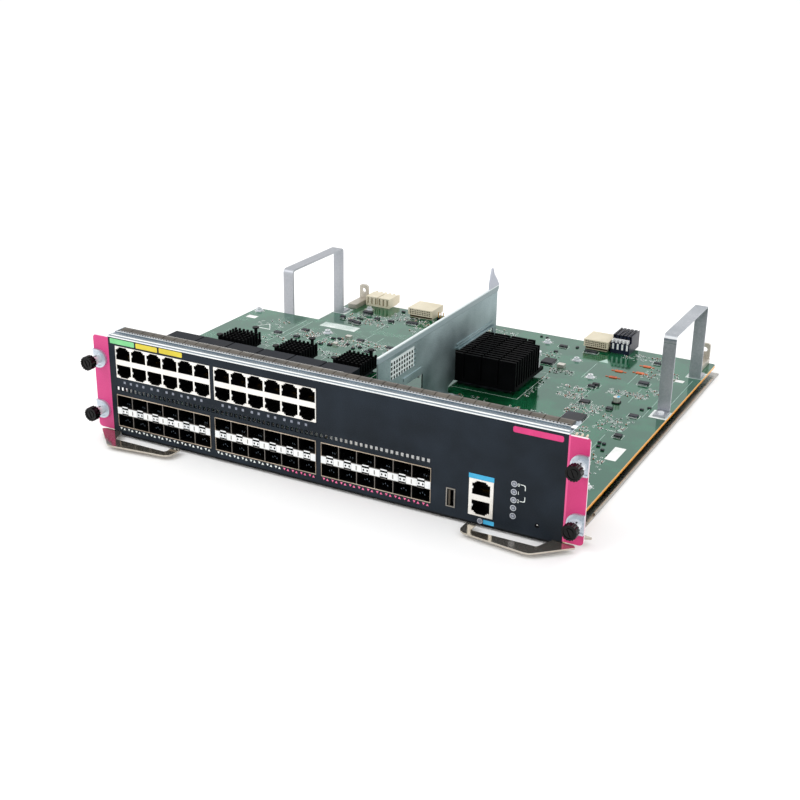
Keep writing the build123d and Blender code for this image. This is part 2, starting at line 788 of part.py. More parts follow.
# Black power connector with a raised rear half and slots between its contacts
black_left = 92.0
black_wide = 17.6
black_pitch = 3.5
with BuildPart() as power_black:
    front = deck_back - black_front
    back = deck_back + black_back
    brick(black_left, black_left + black_wide, front, back, deck_z, header_top)
    brick(black_left, black_left + black_wide, deck_back - black_step, back, header_top, black_top)
    for n in range(5):
        slot = black_left + 1.6 + n * black_pitch
        brick(slot, slot + 1, front - 1, back + 1, header_top + 1, black_top + 1,
              mode=Mode.SUBTRACT)
save(power_black.part, "power_connector_black")

# Guide blocks at the rear corners, each with an upright tab and the hole for a guide pin
for side, name in ((-1, "guide_block_left"), (1, "guide_block_right")):
    with BuildPart() as guide:
        centre = side * guide_x
        brick(centre - guide_wide / 2, centre + guide_wide / 2, deck_back - guide_front,
              deck_back + guide_back, deck_z, guide_block_top)
        with BuildSketch(face_on(deck_back + guide_back - guide_tab_sheet)):
            with Locations((centre, guide_tab_z)):
                RectangleRounded(guide_wide, guide_tab_tall, 2.6)
            with Locations((centre, guide_hole_z)):
                Circle(guide_hole_r, mode=Mode.SUBTRACT)
        extrude(amount=-guide_tab_sheet)
    save(guide.part, name)

# Three-pin header and the metal contacts of both small connectors
pin_header_left = -84.5
pin_header_y = deck_back - 13.9
pin_step = 2.54
pin_base_top = 9.0
with BuildPart() as pin_header:
    brick(pin_header_left, pin_header_left + 3 * pin_step, pin_header_y - 1.3,
          pin_header_y + 1.3, deck_z, pin_base_top)
save(pin_header.part, "pin_header")
with BuildPart() as comb:
    for n in range(3):
        pin_x = pin_header_left + (n + 0.5) * pin_step
        brick(pin_x - 0.3, pin_x + 0.3, pin_header_y - 0.3, pin_header_y + 0.3, pin_base_top, 14.5)
    contact_front = deck_back - black_front + 0.5
    contact_back = deck_back - black_step
    for n in range(5):
        contact = black_left + 0.5 + n * black_pitch
        brick(contact, contact + 1.2, contact_front, contact_back, header_top, header_top + 2.6)
    brick(black_left + 0.5, black_left + black_wide - 1.9, contact_back - 2.4, contact_back,
          header_top, header_top + 2.6)
save(comb.part, "connector_pins")

# Small chips on both boards, each given by its middle, sides and height
deck_chips = [(118.9, 192, 16.6, 17.4, 1.6), (53.4, 302, 10.6, 12.4, 1.8), (50, 346, 7, 4, 1.4),
              (109.6, 268.5, 5.6, 3.4, 2), (107.6, 263, 5.6, 3.4, 2), (114.6, 228.6, 8, 6, 1.3),
              (137.4, 223.6, 5, 4.4, 1.6), (144.1, 291, 8.4, 5.4, 2.2), (159.4, 218.8, 7, 5, 1.4),
              (161.9, 174.3, 5.6, 5, 1.8), (153.6, 156, 2.6, 2.2, 1.1), (157.6, 155, 2.6, 2.2, 1.1),
              (155.2, 149, 2.6, 2.2, 1.1), (160.4, 143.6, 2.6, 2.2, 1.1), (160.8, 235.3, 3, 2, 1),
              (165.2, 241.4, 3, 2, 1), (77.3, 344.3, 11, 4.4, 1.6), (49, 330, 3.4, 2.4, 1),
              (62, 152, 12, 4, 1.8), (76, 150, 6, 3.6, 1.8), (22, 362, 2.2, 1.6, 1),
              (28, 361, 2.2, 1.6, 1), (62, 350, 2.2, 3, 1), (139, 345, 6, 3, 1.6),
              (-152.7, 310.5, 6, 4.6, 1.8), (-145.6, 308.4, 6, 4.6, 1.8), (-150.6, 338, 9, 5, 3),
              (-135.5, 328.8, 5, 3.6, 1.6), (-119.8, 328.5, 5, 3.6, 1.6), (-100, 334, 11, 5, 1.6),
              (-123.5, 361, 3.4, 2, 1.2), (-151.8, 322, 3, 1.8, 1), (-148, 321, 3, 1.8, 1),
              (-166, 316, 5, 3, 2.4)]
upper_chips = [(-131.4, 150.2, 6, 4.4, 1.4), (-114.9, 167.2, 6, 4, 1.2), (-112.5, 149.5, 5, 3.4, 1.2),
               (-61.7, 167.5, 6, 3.6, 1.2), (-86, 144.4, 3, 2.4, 1), (-78.6, 146, 3.4, 2.4, 1),
               (-66, 154, 2.6, 2, 1), (-31.6, 163, 5.6, 3.6, 1.4), (-43, 146, 5, 3, 1.2),
               (-57.6, 148, 2.6, 2.2, 1), (-53.6, 152.6, 2.6, 2.2, 1), (-83.7, 161, 3.4, 2, 1),
               (-79, 163, 3.4, 2, 1)]
with BuildPart() as chips:
    for level, rows in ((deck_z, deck_chips), (upper_z, upper_chips)):
        for cx, cy, wide, deep, tall in rows:
            brick(cx - wide / 2, cx + wide / 2, cy - deep / 2, cy + deep / 2, level, level + tall)
save(chips.part, "small_chips")

# Coils with metal tops on both boards and a round capacitor
with BuildPart() as coils:
    brick(64.8, 71.2, 292, 297.6, deck_z, deck_z + 3.2)
    brick(-75.6, -70.6, 166, 170, upper_z, upper_z + 2.4)
    brick(-76.3, -72.3, 146.6, 150, upper_z, upper_z + 2)
    with BuildSketch(flat_on(deck_z)):
        with Locations((137.7, 240)):
            RegularPolygon(2.9, 16)
    extrude(amount=5.2)
save(coils.part, "coils_and_capacitor")

# Levers that push the module out of its slot; each is a flat plate on an upright pin. The
# outline runs from the grip round the claw, in steps in from the panel's end and back from
# the panel's face
lever_grip = [(66.2, -4.6), (66.2, -14.2), (65.0, -17.2), (62.0, -19.3), (17.0, -24.6),
              (13.2, -24.2), (11.4, -23.0)]
lever_claw = [(-10.0, -2.6), (-9.6, -1.4), (-4.6, 2.6), (-2.6, 4.6), (-2.6, 11.0),
              (-4.2, 12.8), (-10.6, 13.4), (-14.6, 14.9), (-14.8, 16.1), (-9.2, 17.2),
              (0.8, 17.4), (5.2, 14.6), (6.6, 11.0)]
lever_inside = [(6.6, -0.4), (8.9, -4.9), (12.0, -12.6), (13.4, -13.4), (57.6, -13.6),
                (59.2, -12.4), (59.2, -4.6)]
lever_top = lever_low + lever_sheet
pivots = [(-pivot_x, pivot_y), (pivot_x, pivot_y)]
for side, name in ((-1, "lever_left"), (1, "lever_right")):
    with BuildPart() as lever:
        with BuildSketch(flat_on(lever_low)):
            with BuildLine():
                Polyline(*[(side * (half - inset), y)
                           for inset, y in lever_grip + lever_claw + lever_inside], close=True)
            make_face()
            with Locations((side * pivot_x, pivot_y)):
                Circle(pin_r + running_gap, mode=Mode.SUBTRACT)
        extrude(amount=lever_sheet)
    save(lever.part, name)

# The levers' pins, each on a lug that is fixed to the panel's back
with BuildPart() as lugs:
    for side in (-1, 1):
        brick(side * (pivot_x - lug_in), side * (pivot_x + lug_out), sheet, sheet + lug_deep,
              0, lug_sheet)
    with BuildSketch(flat_on(lug_sheet)):
        with Locations(*pivots):
            Circle(pin_r)
    extrude(amount=lever_top + running_gap - lug_sheet)
    with BuildSketch(flat_on(lever_top + running_gap)):
        with Locations(*pivots):
            RegularPolygon(pin_head_r, 12)
    extrude(amount=pin_head)
save(lugs.part, "lever_pivots")

# Captive screws: seat plates and sleeves stay, knob and shank turn, the ring only slides


# Outline of a seat plate: round towards the panel and cut off flush with the ear's outer edge
def seat_outline(x, z, tall, mode=Mode.ADD):
    edge = math.copysign(half + ear_reach, x)
    beyond = math.copysign(tall, x)
    with BuildSketch(mode=Mode.PRIVATE) as plate:
        with Locations((x, z)):
            RegularPolygon(tall / 2, 24)
        with Locations(((x + edge) / 2, z)):
            Rectangle(abs(edge - x), tall)
        with Locations((edge + beyond / 2, z)):
            Rectangle(tall, 2 * tall, mode=Mode.SUBTRACT)
    add(plate.sketch, mode=mode)


with BuildPart() as seats:
    with BuildSketch(face_on(0)):
        for x, z in screw_spots:
            seat_outline(x, z, seat_tall)
        with Locations(*screw_spots):
            RegularPolygon(sleeve_r, 24, mode=Mode.SUBTRACT)
    extrude(amount=seat_sheet)
    with BuildSketch(face_on(-seat_sheet)):
        for x, z in screw_spots:
            seat_outline(x, z, seat_tall)
            seat_outline(x, z, seat_tall - 2 * seat_rim, mode=Mode.SUBTRACT)
    extrude(amount=seat_rim_tall)
save(seats.part, "screw_seats")
with BuildPart() as sleeves:
    with BuildSketch(face_on(-sleeve_out)):
        with Locations(*screw_spots):
            RegularPolygon(sleeve_r, 24)
            Circle(neck_r + running_gap, mode=Mode.SUBTRACT)
    extrude(amount=-(sleeve_out + sheet))
save(sleeves.part, "screw_sleeves")


# Outline of a knob with flutes: the radius drops at every third of its points
def knob_outline(x, z, points=48):
    outline = []
    for n in range(points):
        angle = 2 * math.pi * n / points
        r = knob_r - (knob_flute if n % 3 == 0 else 0)
        outline.append((x + r * math.cos(angle), z + r * math.sin(angle)))
    return outline


knob_face = -(sleeve_out + knob_gap + knob_long)
knob_floor = knob_face + knob_front
ring_front = sheet + ring_gap
thread_front = ring_front + ring_sheet + thread_step
for n, (x, z) in enumerate(screw_spots):
    name = ("left_upper", "left_lower", "right_upper", "right_lower")[n]
    with BuildPart() as knob:
        with BuildSketch(face_on(knob_face)):
            with BuildLine():
                Polyline(*knob_outline(x, z), close=True)
            make_face()
        extrude(amount=-knob_long)
        with BuildSketch(face_on(knob_floor)):
            with Locations((x, z)):
                RegularPolygon(sleeve_r + knob_clear, 24)
        extrude(amount=-knob_long, mode=Mode.SUBTRACT)
        with BuildSketch(face_on(knob_face)):
            with Locations((x, z)):
                RegularPolygon(knob_r - 3 * knob_groove, 16)
                RegularPolygon(knob_r - 5 * knob_groove, 16, mode=Mode.SUBTRACT)
                Rectangle(2 * knob_groove, knob_r, rotation=25)
        extrude(amount=-knob_groove, mode=Mode.SUBTRACT)
    save(knob.part, "knob_" + name)
    with BuildPart() as shank:
        with BuildSketch(face_on(knob_floor)):
            with Locations((x, z)):
                Circle(neck_r)
        extrude(amount=-(thread_front - knob_floor))
        with BuildSketch(face_on(thread_front)):
            with Locations((x, z)):
                Circle(thread_r)
        extrude(amount=-thread_long)
    save(shank.part, "shank_" + name)
    with BuildPart() as ring:
        with BuildSketch(face_on(ring_front)):
            with Locations((x, z)):
                RegularPolygon(ring_r, 12)
                Circle(neck_r + running_gap, mode=Mode.SUBTRACT)
        extrude(amount=-ring_sheet)
    save(ring.part, "ring_" + name)
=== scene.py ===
from math import pi, radians

import bpy
import numpy as np
from mathutils import Matrix, Vector


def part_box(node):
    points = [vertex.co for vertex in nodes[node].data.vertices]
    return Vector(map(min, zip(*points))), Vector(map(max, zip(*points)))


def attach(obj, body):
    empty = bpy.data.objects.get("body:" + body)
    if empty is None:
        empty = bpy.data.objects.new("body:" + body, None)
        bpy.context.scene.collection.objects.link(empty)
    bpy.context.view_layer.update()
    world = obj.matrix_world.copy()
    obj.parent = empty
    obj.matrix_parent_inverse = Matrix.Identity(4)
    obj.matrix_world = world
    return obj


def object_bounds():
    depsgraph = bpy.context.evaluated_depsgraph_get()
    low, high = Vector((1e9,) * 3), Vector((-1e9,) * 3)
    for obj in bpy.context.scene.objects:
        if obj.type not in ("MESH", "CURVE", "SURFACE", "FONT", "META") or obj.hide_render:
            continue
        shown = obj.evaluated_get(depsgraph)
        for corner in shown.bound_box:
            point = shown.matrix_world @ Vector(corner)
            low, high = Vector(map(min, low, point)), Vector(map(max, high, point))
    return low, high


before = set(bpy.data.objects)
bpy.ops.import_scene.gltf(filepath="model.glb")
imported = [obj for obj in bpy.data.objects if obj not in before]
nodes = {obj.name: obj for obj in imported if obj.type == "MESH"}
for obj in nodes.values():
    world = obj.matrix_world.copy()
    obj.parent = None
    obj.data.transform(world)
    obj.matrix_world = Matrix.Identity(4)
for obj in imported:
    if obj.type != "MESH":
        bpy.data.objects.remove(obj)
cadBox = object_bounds()
mm = 0.001
rng = np.random.default_rng(21)  # one seed for every scattered part


def boxOf(node):  # lowest and highest corner of a node, in millimetres
    low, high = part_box(node)
    return np.array(low) / mm, np.array(high) / mm


deckTop = boxOf("main_board")[1][2]
deckBack = boxOf("main_board")[1][1]
upperTop = boxOf("upper_board")[1][2]
panelHalf = boxOf("front_panel")[1][0]

# Camera, at the place the panel's edges and port columns give
view = {"place": (0.4359, -0.7045, 0.3995), "turn": 27.804, "tilt": 21.988, "roll": 0.863,
        "pixels": 1286, "frame": 800, "near": 0.05, "far": 60}
camera = bpy.data.objects.new("camera", bpy.data.cameras.new("camera"))
camera.data.lens = view["pixels"] / view["frame"] * camera.data.sensor_width
camera.data.clip_start, camera.data.clip_end = view["near"], view["far"]
camera.matrix_world = (Matrix.Translation(view["place"]) @ Matrix.Rotation(radians(view["turn"]), 4, "Z")
                       @ Matrix.Rotation(radians(90 - view["tilt"]), 4, "X")
                       @ Matrix.Rotation(radians(view["roll"]), 4, "Z"))
bpy.context.scene.collection.objects.link(camera)
bpy.context.scene.camera = camera
bpy.context.scene.view_settings.view_transform = "Standard"
print("camera placed")


def linear(hexColour):  # an sRGB hex colour as linear light
    parts = np.array([int(hexColour[i:i + 2], 16) for i in (1, 3, 5)]) / 255
    return (*np.where(parts <= 0.04045, parts / 12.92, ((parts + 0.055) / 1.055) ** 2.4), 1.0)


def addNode(tree, kind, settings=None, wires=None):  # one shader node with its settings and links
    node = tree.nodes.new("ShaderNode" + kind)
    for key, value in (settings or {}).items():
        if isinstance(key, int) or key in node.inputs:
            node.inputs[key].default_value = value
        else:
            setattr(node, key, value)
    for key, socket in (wires or {}).items():
        tree.links.new(socket, node.inputs[key])
    return node


def startMaterial(name, settings):
    material = bpy.data.materials.new(name)
    material.use_nodes = True
    tree = material.node_tree
    shader = tree.nodes["Principled BSDF"]
    for key, value in settings.items():
        shader.inputs[key].default_value = value
    place = addNode(tree, "TexCoord").outputs["Object"]
    return material, tree, shader, place


def zone(node, colour, x=None, y=None, z=None):  # a painted box: the whole node, or the part within the spans
    low, high = boxOf(node)
    low, high = low - 1, high + 1
    for axis, span in enumerate((x, y, z)):
        if span is not None:
            low[axis], high[axis] = span
    return low, high, colour


def paintZones(tree, colour, place, zones):
    # The product of six comparisons is 1 inside a zone's box and 0 outside
    spot = addNode(tree, "SeparateXYZ", None, {0: place}) if zones else None
    covered = None
    for low, high, paint in zones:
        inside = None
        for axis in range(3):
            for operation, limit in (("GREATER_THAN", low[axis]), ("LESS_THAN", high[axis])):
                side = addNode(tree, "Math", {"operation": operation, 1: limit * mm}, {0: spot.outputs[axis]})
                inside = side if inside is None else addNode(
                    tree, "Math", {"operation": "MULTIPLY"}, {0: inside.outputs[0], 1: side.outputs[0]})
        colour = addNode(tree, "Mix", {"data_type": "RGBA", 7: linear(paint)},
                         {0: inside.outputs[0], 6: colour}).outputs[2]
        covered = inside if covered is None else addNode(
            tree, "Math", {"operation": "MAXIMUM"}, {0: covered.outputs[0], 1: inside.outputs[0]})
    return colour, covered


grainLook = {"broad": 40, "low": 0.72, "high": 1.28, "spread": 0.08, "relief": 0.6}


def makeFinish(name, light, dark, metallic, rough, grain, bump, specular=0.3, zones=()):
    # Two close colours, a wandering roughness and a shallow relief, all from one grain of a real size in mm
    settings = {"Metallic": metallic} | ({} if metallic else {"Specular IOR Level": specular})
    material, tree, shader, place = startMaterial(name, settings)
    fine = addNode(tree, "TexNoise", {"Scale": 1 / (grain * mm), "Detail": 4.0, "Roughness": 0.6},
                   {"Vector": place})
    broad = addNode(tree, "TexNoise", {"Scale": 1 / (grain * grainLook["broad"] * mm), "Detail": 2.0},
                    {"Vector": place})
    both = addNode(tree, "Math", {"operation": "ADD"}, {0: fine.outputs[0], 1: broad.outputs[0]})
    half = addNode(tree, "MapRange", {"From Min": grainLook["low"], "From Max": grainLook["high"]},
                   {"Value": both.outputs[0]}).outputs[0]
    colour = addNode(tree, "Mix", {"data_type": "RGBA", 6: linear(dark), 7: linear(light)}, {0: half})
    painted, covered = paintZones(tree, colour.outputs[2], place, zones)
    tree.links.new(painted, shader.inputs["Base Color"])
    if zones and metallic:  # paint and shade aren't metal
        bare = addNode(tree, "Math", {"operation": "MULTIPLY_ADD", 1: -metallic, 2: metallic},
                       {0: covered.outputs[0]})
        tree.links.new(bare.outputs[0], shader.inputs["Metallic"])
    spread = min(grainLook["spread"], rough / 2)
    gloss = addNode(tree, "MapRange", {"To Min": rough - spread, "To Max": rough + spread}, {"Value": half})
    tree.links.new(gloss.outputs[0], shader.inputs["Roughness"])
    relief = addNode(tree, "Bump", {"Strength": grainLook["relief"], "Distance": bump * mm},
                     {"Height": fine.outputs[0]})
    tree.links.new(relief.outputs[0], shader.inputs["Normal"])
    return material


# Name: light colour, dark colour, metallic, roughness, grain in mm, relief in mm, and where metallic is 0 a
# specular level
finishes = {
    "zincSheet": ("#bfc1c6", "#a3a7ad", 1, 0.50, 1.2, 0.003),  # galvanised, a soft cloudy sheen
    "traySheet": ("#b9b5ae", "#a09f9c", 1, 0.30, 1.6, 0.001),  # galvanised and rolled flat, smoother
    "turnedSteel": ("#dcdddf", "#a4a6a9", 1, 0.22, 0.5, 0.003),  # cut on a lathe, with sharp lights
    "rolledSteel": ("#aebac2", "#8996a0", 1, 0.22, 0.9, 0.004),  # passivated, a cold blue cast
    "leverSteel": ("#cfc8bc", "#b3aa9c", 0.92, 0.13, 1.4, 0.001),  # nickel plated, mirrors the panel
    "gasketWeave": ("#6a6359", "#2f2b26", 0.35, 0.42, 0.6, 0.03),  # metal-coated cloth, coarse grey-brown
    "tinnedSteel": ("#e6e3dc", "#bfbbb2", 0.8, 0.34, 0.7, 0.004),  # dipped, bright with soft lights
    "anodisedBlack": ("#08080a", "#020203", 0, 0.60, 0.4, 0.006, 0.06),  # dyed aluminium, eats the light
    "mouldedBlack": ("#0e0f12", "#050506", 0, 0.45, 0.5, 0.006, 0.15),  # glass-filled nylon, a dull satin
    "glossBlack": ("#070708", "#020202", 0, 0.16, 0.6, 0.003, 0.2),  # moulded, with small sharp lights
    "chipBlack": ("#383a42", "#0b0b0e", 0, 0.45, 0.3, 0.004, 0.2),  # moulded epoxy, grey to black by batch
    "bodyBlack": ("#17181b", "#08080a", 0, 0.45, 0.3, 0.004, 0.15),  # the same on small parts, darker
    "slateCover": ("#1e222a", "#12151a", 0, 0.50, 0.7, 0.006, 0.08),  # moulded epoxy, a matt blue-grey
    "ivoryNylon": ("#e8e0cb", "#cfc5ab", 0, 0.45, 0.6, 0.005, 0.3),  # moulded, cream and satin
    "castZinc": ("#d6d0c4", "#a29c91", 0.55, 0.42, 0.9, 0.02),  # die cast, with a fine dimpled skin
    "milkyGuide": ("#f2f3f2", "#cfd3d4", 0, 0.30, 0.6, 0.003, 0.3),  # frosted acrylic
    "greyLens": ("#8f949f", "#6b707d", 0, 0.25, 0.4, 0.003, 0.4),  # the same over an unlit lamp
    "whitePrint": ("#f6faf8", "#d5dfda", 0, 0.55, 0.3, 0.002),  # screen-printed ink
    "fadedPrint": ("#b3cbc2", "#8fb0a5", 0, 0.45, 0.3, 0.002),  # the same ink, printed thin
    "fadedGrey": ("#a09d98", "#74716d", 0, 0.45, 0.4, 0.002, 0.3),  # grey plastic in a shaded gap
    "speckledPrint": ("#fbfcfb", "#7f9c92", 0, 0.50, 0.45, 0.004),  # white ink, printed coarsely
    "paperLabel": ("#f4f5f3", "#dadcda", 0, 0.60, 0.25, 0.003),  # coated paper, matt
    "tinSolder": ("#f0f1f1", "#a9adaf", 1, 0.26, 0.3, 0.004),  # reflowed, bright with small lights
    "goldContact": ("#d9b054", "#a67c2b", 1, 0.26, 0.3, 0.002),  # thin plating over nickel, a warm gleam
    "bareCopper": ("#d9682e", "#a8461a", 0.2, 0.38, 0.3, 0.004),  # lacquered, an orange sheen
    "tanCeramic": ("#a3683f", "#6f4526", 0, 0.50, 0.25, 0.004, 0.3),  # fired, dull brown
    "greenField": ("#84cd90", "#68b478", 0, 0.45, 0.3, 0.002, 0.2),  # screen-printed inks, flat and even
    "yellowField": ("#dccb4b", "#c2b036", 0, 0.45, 0.3, 0.002, 0.2),
    "pinkField": ("#d8447f", "#c2366f", 0, 0.45, 0.3, 0.002, 0.2),
    "pinkMark": ("#f47ba6", "#e2608f", 0, 0.45, 0.3, 0.002, 0.2),
    "blueField": ("#4cafd8", "#389ac5", 0, 0.45, 0.3, 0.002, 0.2),
    "ringPrint": ("#c6cad0", "#9a9fa8", 0, 0.50, 0.3, 0.002, 0.2),
    "seatSteel": ("#d3dbe3", "#aeb8c4", 0.75, 0.36, 0.8, 0.003),  # a stamping, softly bright
    "polishedSleeve": ("#f4f6f8", "#ccd1d7", 0.35, 0.18, 0.5, 0.002),  # polished steel, white in soft light
    "tongueNylon": ("#544d42", "#37322a", 0, 0.40, 0.4, 0.003, 0.25),  # moulded, brown in the socket's shade
    "shadeLineAndGlint": ("#5c6a76", "#46525d", 0.3, 0.40, 0.4, 0.002),  # steel where a fold turns from the light, painted shade lines; in the cage mouths painted glints
    "deepBlue": ("#101830", "#060a17", 0, 0.34, 0.5, 0.005, 0.3),  # moulded nylon, nearly black
}
finish = {name: makeFinish(name, *look) for name, look in finishes.items()}

# The edge colour is a painted shade, a dark band along the panel's lower edge
slate = {"light": "#222a33", "dark": "#141a20", "edge": "#07090b", "edgeTall": 1.4}
panelLow = boxOf("front_panel")[0]
finish["powderCoatSlate"] = makeFinish(  # baked powder with a fine orange-peel, and a painted shade along its lower edge
    "powderCoatSlate", slate["light"], slate["dark"], 0, 0.42, 0.7, 0.012, 0.12,
    zones=(zone("front_panel", slate["edge"], z=(panelLow[2] - 1, panelLow[2] + slate["edgeTall"])),))


def makeBoard():
    # Solder mask over copper: a deep green under a clear gloss that mirrors what stands on it, faint tracks
    # at three angles, rows of tinned vias, and a bare yellow edge. Lengths are in mm
    look = {"mask": "#0a4426", "maskDeep": "#073a20", "track": "#15603f", "via": "#8fb3a2", "edge": "#f5a32a",
            "patch": 17, "pitch": 6.2, "trackFrom": 0.62, "cloud": 26, "viaPitch": 2.3, "viaSize": 0.16,
            "viaPatch": 13, "viaFrom": 0.54, "relief": 0.01}
    material, tree, shader, place = startMaterial("solderMaskGreen", {
        "Roughness": 0.09, "IOR": 1.95, "Specular Tint": linear("#bdfdf2")})
    cells = addNode(tree, "TexVoronoi", {"Scale": 1 / (look["patch"] * mm), "distance": "CHEBYCHEV"},
                    {"Vector": place})
    pick = addNode(tree, "SeparateColor", None, {0: cells.outputs["Color"]})
    tracks = None
    for angle, share in ((0, 0.0), (90, 0.36), (45, 0.7)):  # tracks run one way in each patch
        turned = addNode(tree, "Mapping", {"Rotation": (0, 0, radians(angle))}, {"Vector": place})
        wave = addNode(tree, "TexWave", {"Scale": 1 / (look["pitch"] * mm)},
                       {"Vector": turned.outputs[0]}).outputs["Fac"]
        if tracks is None:
            tracks = wave
            continue
        over = addNode(tree, "Math", {"operation": "GREATER_THAN", 1: share}, {0: pick.outputs[0]})
        tracks = addNode(tree, "Mix", None, {0: over.outputs[0], 2: tracks, 3: wave}).outputs[0]
    sharp = addNode(tree, "Math", {"operation": "GREATER_THAN", 1: look["trackFrom"]}, {0: tracks})
    wide = addNode(tree, "TexNoise", {"Scale": 1 / (look["cloud"] * mm), "Detail": 3.0}, {"Vector": place})
    there = addNode(tree, "MapRange", {"From Min": 0.48, "From Max": 0.56}, {"Value": wide.outputs[0]})
    seen = addNode(tree, "Math", {"operation": "MULTIPLY"}, {0: sharp.outputs[0], 1: there.outputs[0]})
    cloud = addNode(tree, "Mix", {"data_type": "RGBA", 6: linear(look["maskDeep"]), 7: linear(look["mask"])},
                    {0: wide.outputs[0]})
    tracked = addNode(tree, "Mix", {"data_type": "RGBA", 7: linear(look["track"])},
                      {0: seen.outputs[0], 6: cloud.outputs[2]})
    dots = addNode(tree, "TexVoronoi", {"Scale": 1 / (look["viaPitch"] * mm), "Randomness": 0.35},
                   {"Vector": place})
    near = addNode(tree, "Math", {"operation": "LESS_THAN", 1: look["viaSize"]},
                   {0: dots.outputs["Distance"]})
    patch = addNode(tree, "TexNoise", {"Scale": 1 / (look["viaPatch"] * mm), "Detail": 1.0},
                    {"Vector": place})
    some = addNode(tree, "Math", {"operation": "GREATER_THAN", 1: look["viaFrom"]}, {0: patch.outputs[0]})
    vias = addNode(tree, "Math", {"operation": "MULTIPLY"}, {0: near.outputs[0], 1: some.outputs[0]})
    dotted = addNode(tree, "Mix", {"data_type": "RGBA", 7: linear(look["via"])},
                     {0: vias.outputs[0], 6: tracked.outputs[2]})
    up = addNode(tree, "SeparateXYZ", None, {0: addNode(tree, "NewGeometry").outputs["Normal"]})
    flat = addNode(tree, "Math", {"operation": "ABSOLUTE"}, {0: up.outputs[2]})
    side = addNode(tree, "Math", {"operation": "LESS_THAN", 1: 0.5}, {0: flat.outputs[0]})
    edged = addNode(tree, "Mix", {"data_type": "RGBA", 7: linear(look["edge"])},
                    {0: side.outputs[0], 6: dotted.outputs[2]})
    tree.links.new(edged.outputs[2], shader.inputs["Base Color"])
    lift = addNode(tree, "Bump", {"Strength": 0.4, "Distance": look["relief"] * mm},
                   {"Height": seen.outputs[0]})
    tree.links.new(lift.outputs[0], shader.inputs["Normal"])
    return material


finish["solderMaskGreen"] = makeBoard()

# Tinned shields, dark inside from just behind the face and inside the edges: black mouldings in the jacks,
# painted shade in the cages and the socket
ports = {"columns": 6, "jackTall": 25.4, "controlTall": 26.0, "cageTall": 26.1, "socketTall": 16.0,
         "edge": 0.05, "skin": 0.35, "lidFrom": 2, "dark": "#020202", "lid": "#f6f6f4"}
portLooks = {  # light and dark metal, rim width, depth of the dark, height of the face, walls between mouths
    "jack_block": ("#f6f4ef", "#dcd8d0", 0.7, 13.1, ports["jackTall"], None),
    "control_jacks": ("#f6f4ef", "#dcd8d0", 0.7, 13.1, ports["controlTall"], None),
    "port_cage": ("#d8c7b3", "#a39481", 0.75, 44.1, ports["cageTall"], "#68635d"),
    "usb_socket": ("#9a968f", "#6f6b64", 0.5, 12.2, ports["socketTall"], None)}
for node in nodes:
    for start, (metal, metalDark, rim, deep, tall, walls) in portLooks.items():
        if not node.startswith(start):
            continue
        low, high = boxOf(node)
        bottom = max(low[2], high[2] - tall)
        edge = ports["edge"]
        zones = [zone(node, ports["dark"], (low[0] + edge, high[0] - edge),
                      (low[1] + ports["skin"], low[1] + deep + 0.1), (bottom + edge, high[2] - edge))]
        if walls:  # the lid behind the panel is painted paler, a painted highlight that shows through the vents
            zones.insert(0, zone(node, walls, (low[0] + rim, high[0] - rim), (low[1] - 1, low[1] + deep),
                                 (bottom + rim, high[2] - rim)))
            zones.append(zone(node, ports["lid"], y=(low[1] + ports["lidFrom"], high[1] + 1),
                              z=(low[2] + tall - 1, high[2] + 1)))
        finish[node] = makeFinish(node + "Metal", metal, metalDark, 0.45, 0.36, 0.7, 0.004, zones=zones)

# Moulded headers: ivory outside, a brown painted shade in each pin's mouth in the front face
mouth = {"rim": 0.4, "skin": 0.15, "deep": 3, "shade": "#3d2a12"}
for node in ("header_left", "header_right"):
    low, high = boxOf(node)
    rim = mouth["rim"]
    mouths = zone(node, mouth["shade"], (low[0] + rim, high[0] - rim),
                  (low[1] + mouth["skin"], low[1] + mouth["deep"]), (low[2] + rim, high[2] - rim))
    finish[node] = makeFinish(node + "Nylon", "#e0d8c2", "#c7bda3", 0, 0.45, 0.6, 0.005, 0.3, zones=(mouths,))

low, high = boxOf("connector_pins")
finish["connector_pins"] = makeFinish(  # white mouldings at the power connector, gilt pins at the header
    "connectorPins", "#f0f1f0", "#c9cccd", 0, 0.35, 0.4, 0.003, 0.3,
    zones=(zone("connector_pins", "#b98a32", x=(low[0] - 1, 0)),))

low, high = boxOf("reset_button")
middle = (low + high) / 2
finish["reset_button"] = makeFinish(  # a black moulding with a painted highlight, a white dot
    "resetButton", "#101114", "#050506", 0, 0.4, 0.4, 0.003, 0.2,
    zones=(zone("reset_button", "#f2f3f2", x=(middle[0] - 0.5, middle[0] + 0.5),
                z=(middle[2] - 0.1, middle[2] + 1.1)),))

# Ears: baked pink powder, an even satin colour, paler where the sheet's edges and the bend catch the light
ear = {"edge": 0.3, "side": 0.25, "bend": 1.3, "top": "#f0dbe3", "rim": "#ecd9df", "bent": "#dc5489"}
# The right ear's colours are a little darker than the left's: painted shade on the same powder
earPowderAndShade = {"ear_left": ("#d24a86", "#c03c76"), "ear_right": ("#cc3f7a", "#b93268")}
for node, paint in earPowderAndShade.items():
    low, high = boxOf(node)
    outer = low[0] if node == "ear_left" else high[0]
    front = low[1] + ear["edge"]
    zones = [zone(node, ear["top"], z=(high[2] - ear["edge"], high[2] + 1)),
             zone(node, ear["rim"], (outer - ear["side"], outer + ear["side"]), (front, high[1] + 1))]
    if node == "ear_right":
        zones.append(zone(node, ear["bent"], (panelHalf, panelHalf + ear["bend"]), (low[1] - 1, front)))
    finish[node] = makeFinish(node + "Powder", *paint, 0, 0.40, 0.8, 0.010, 0.25, zones=zones)
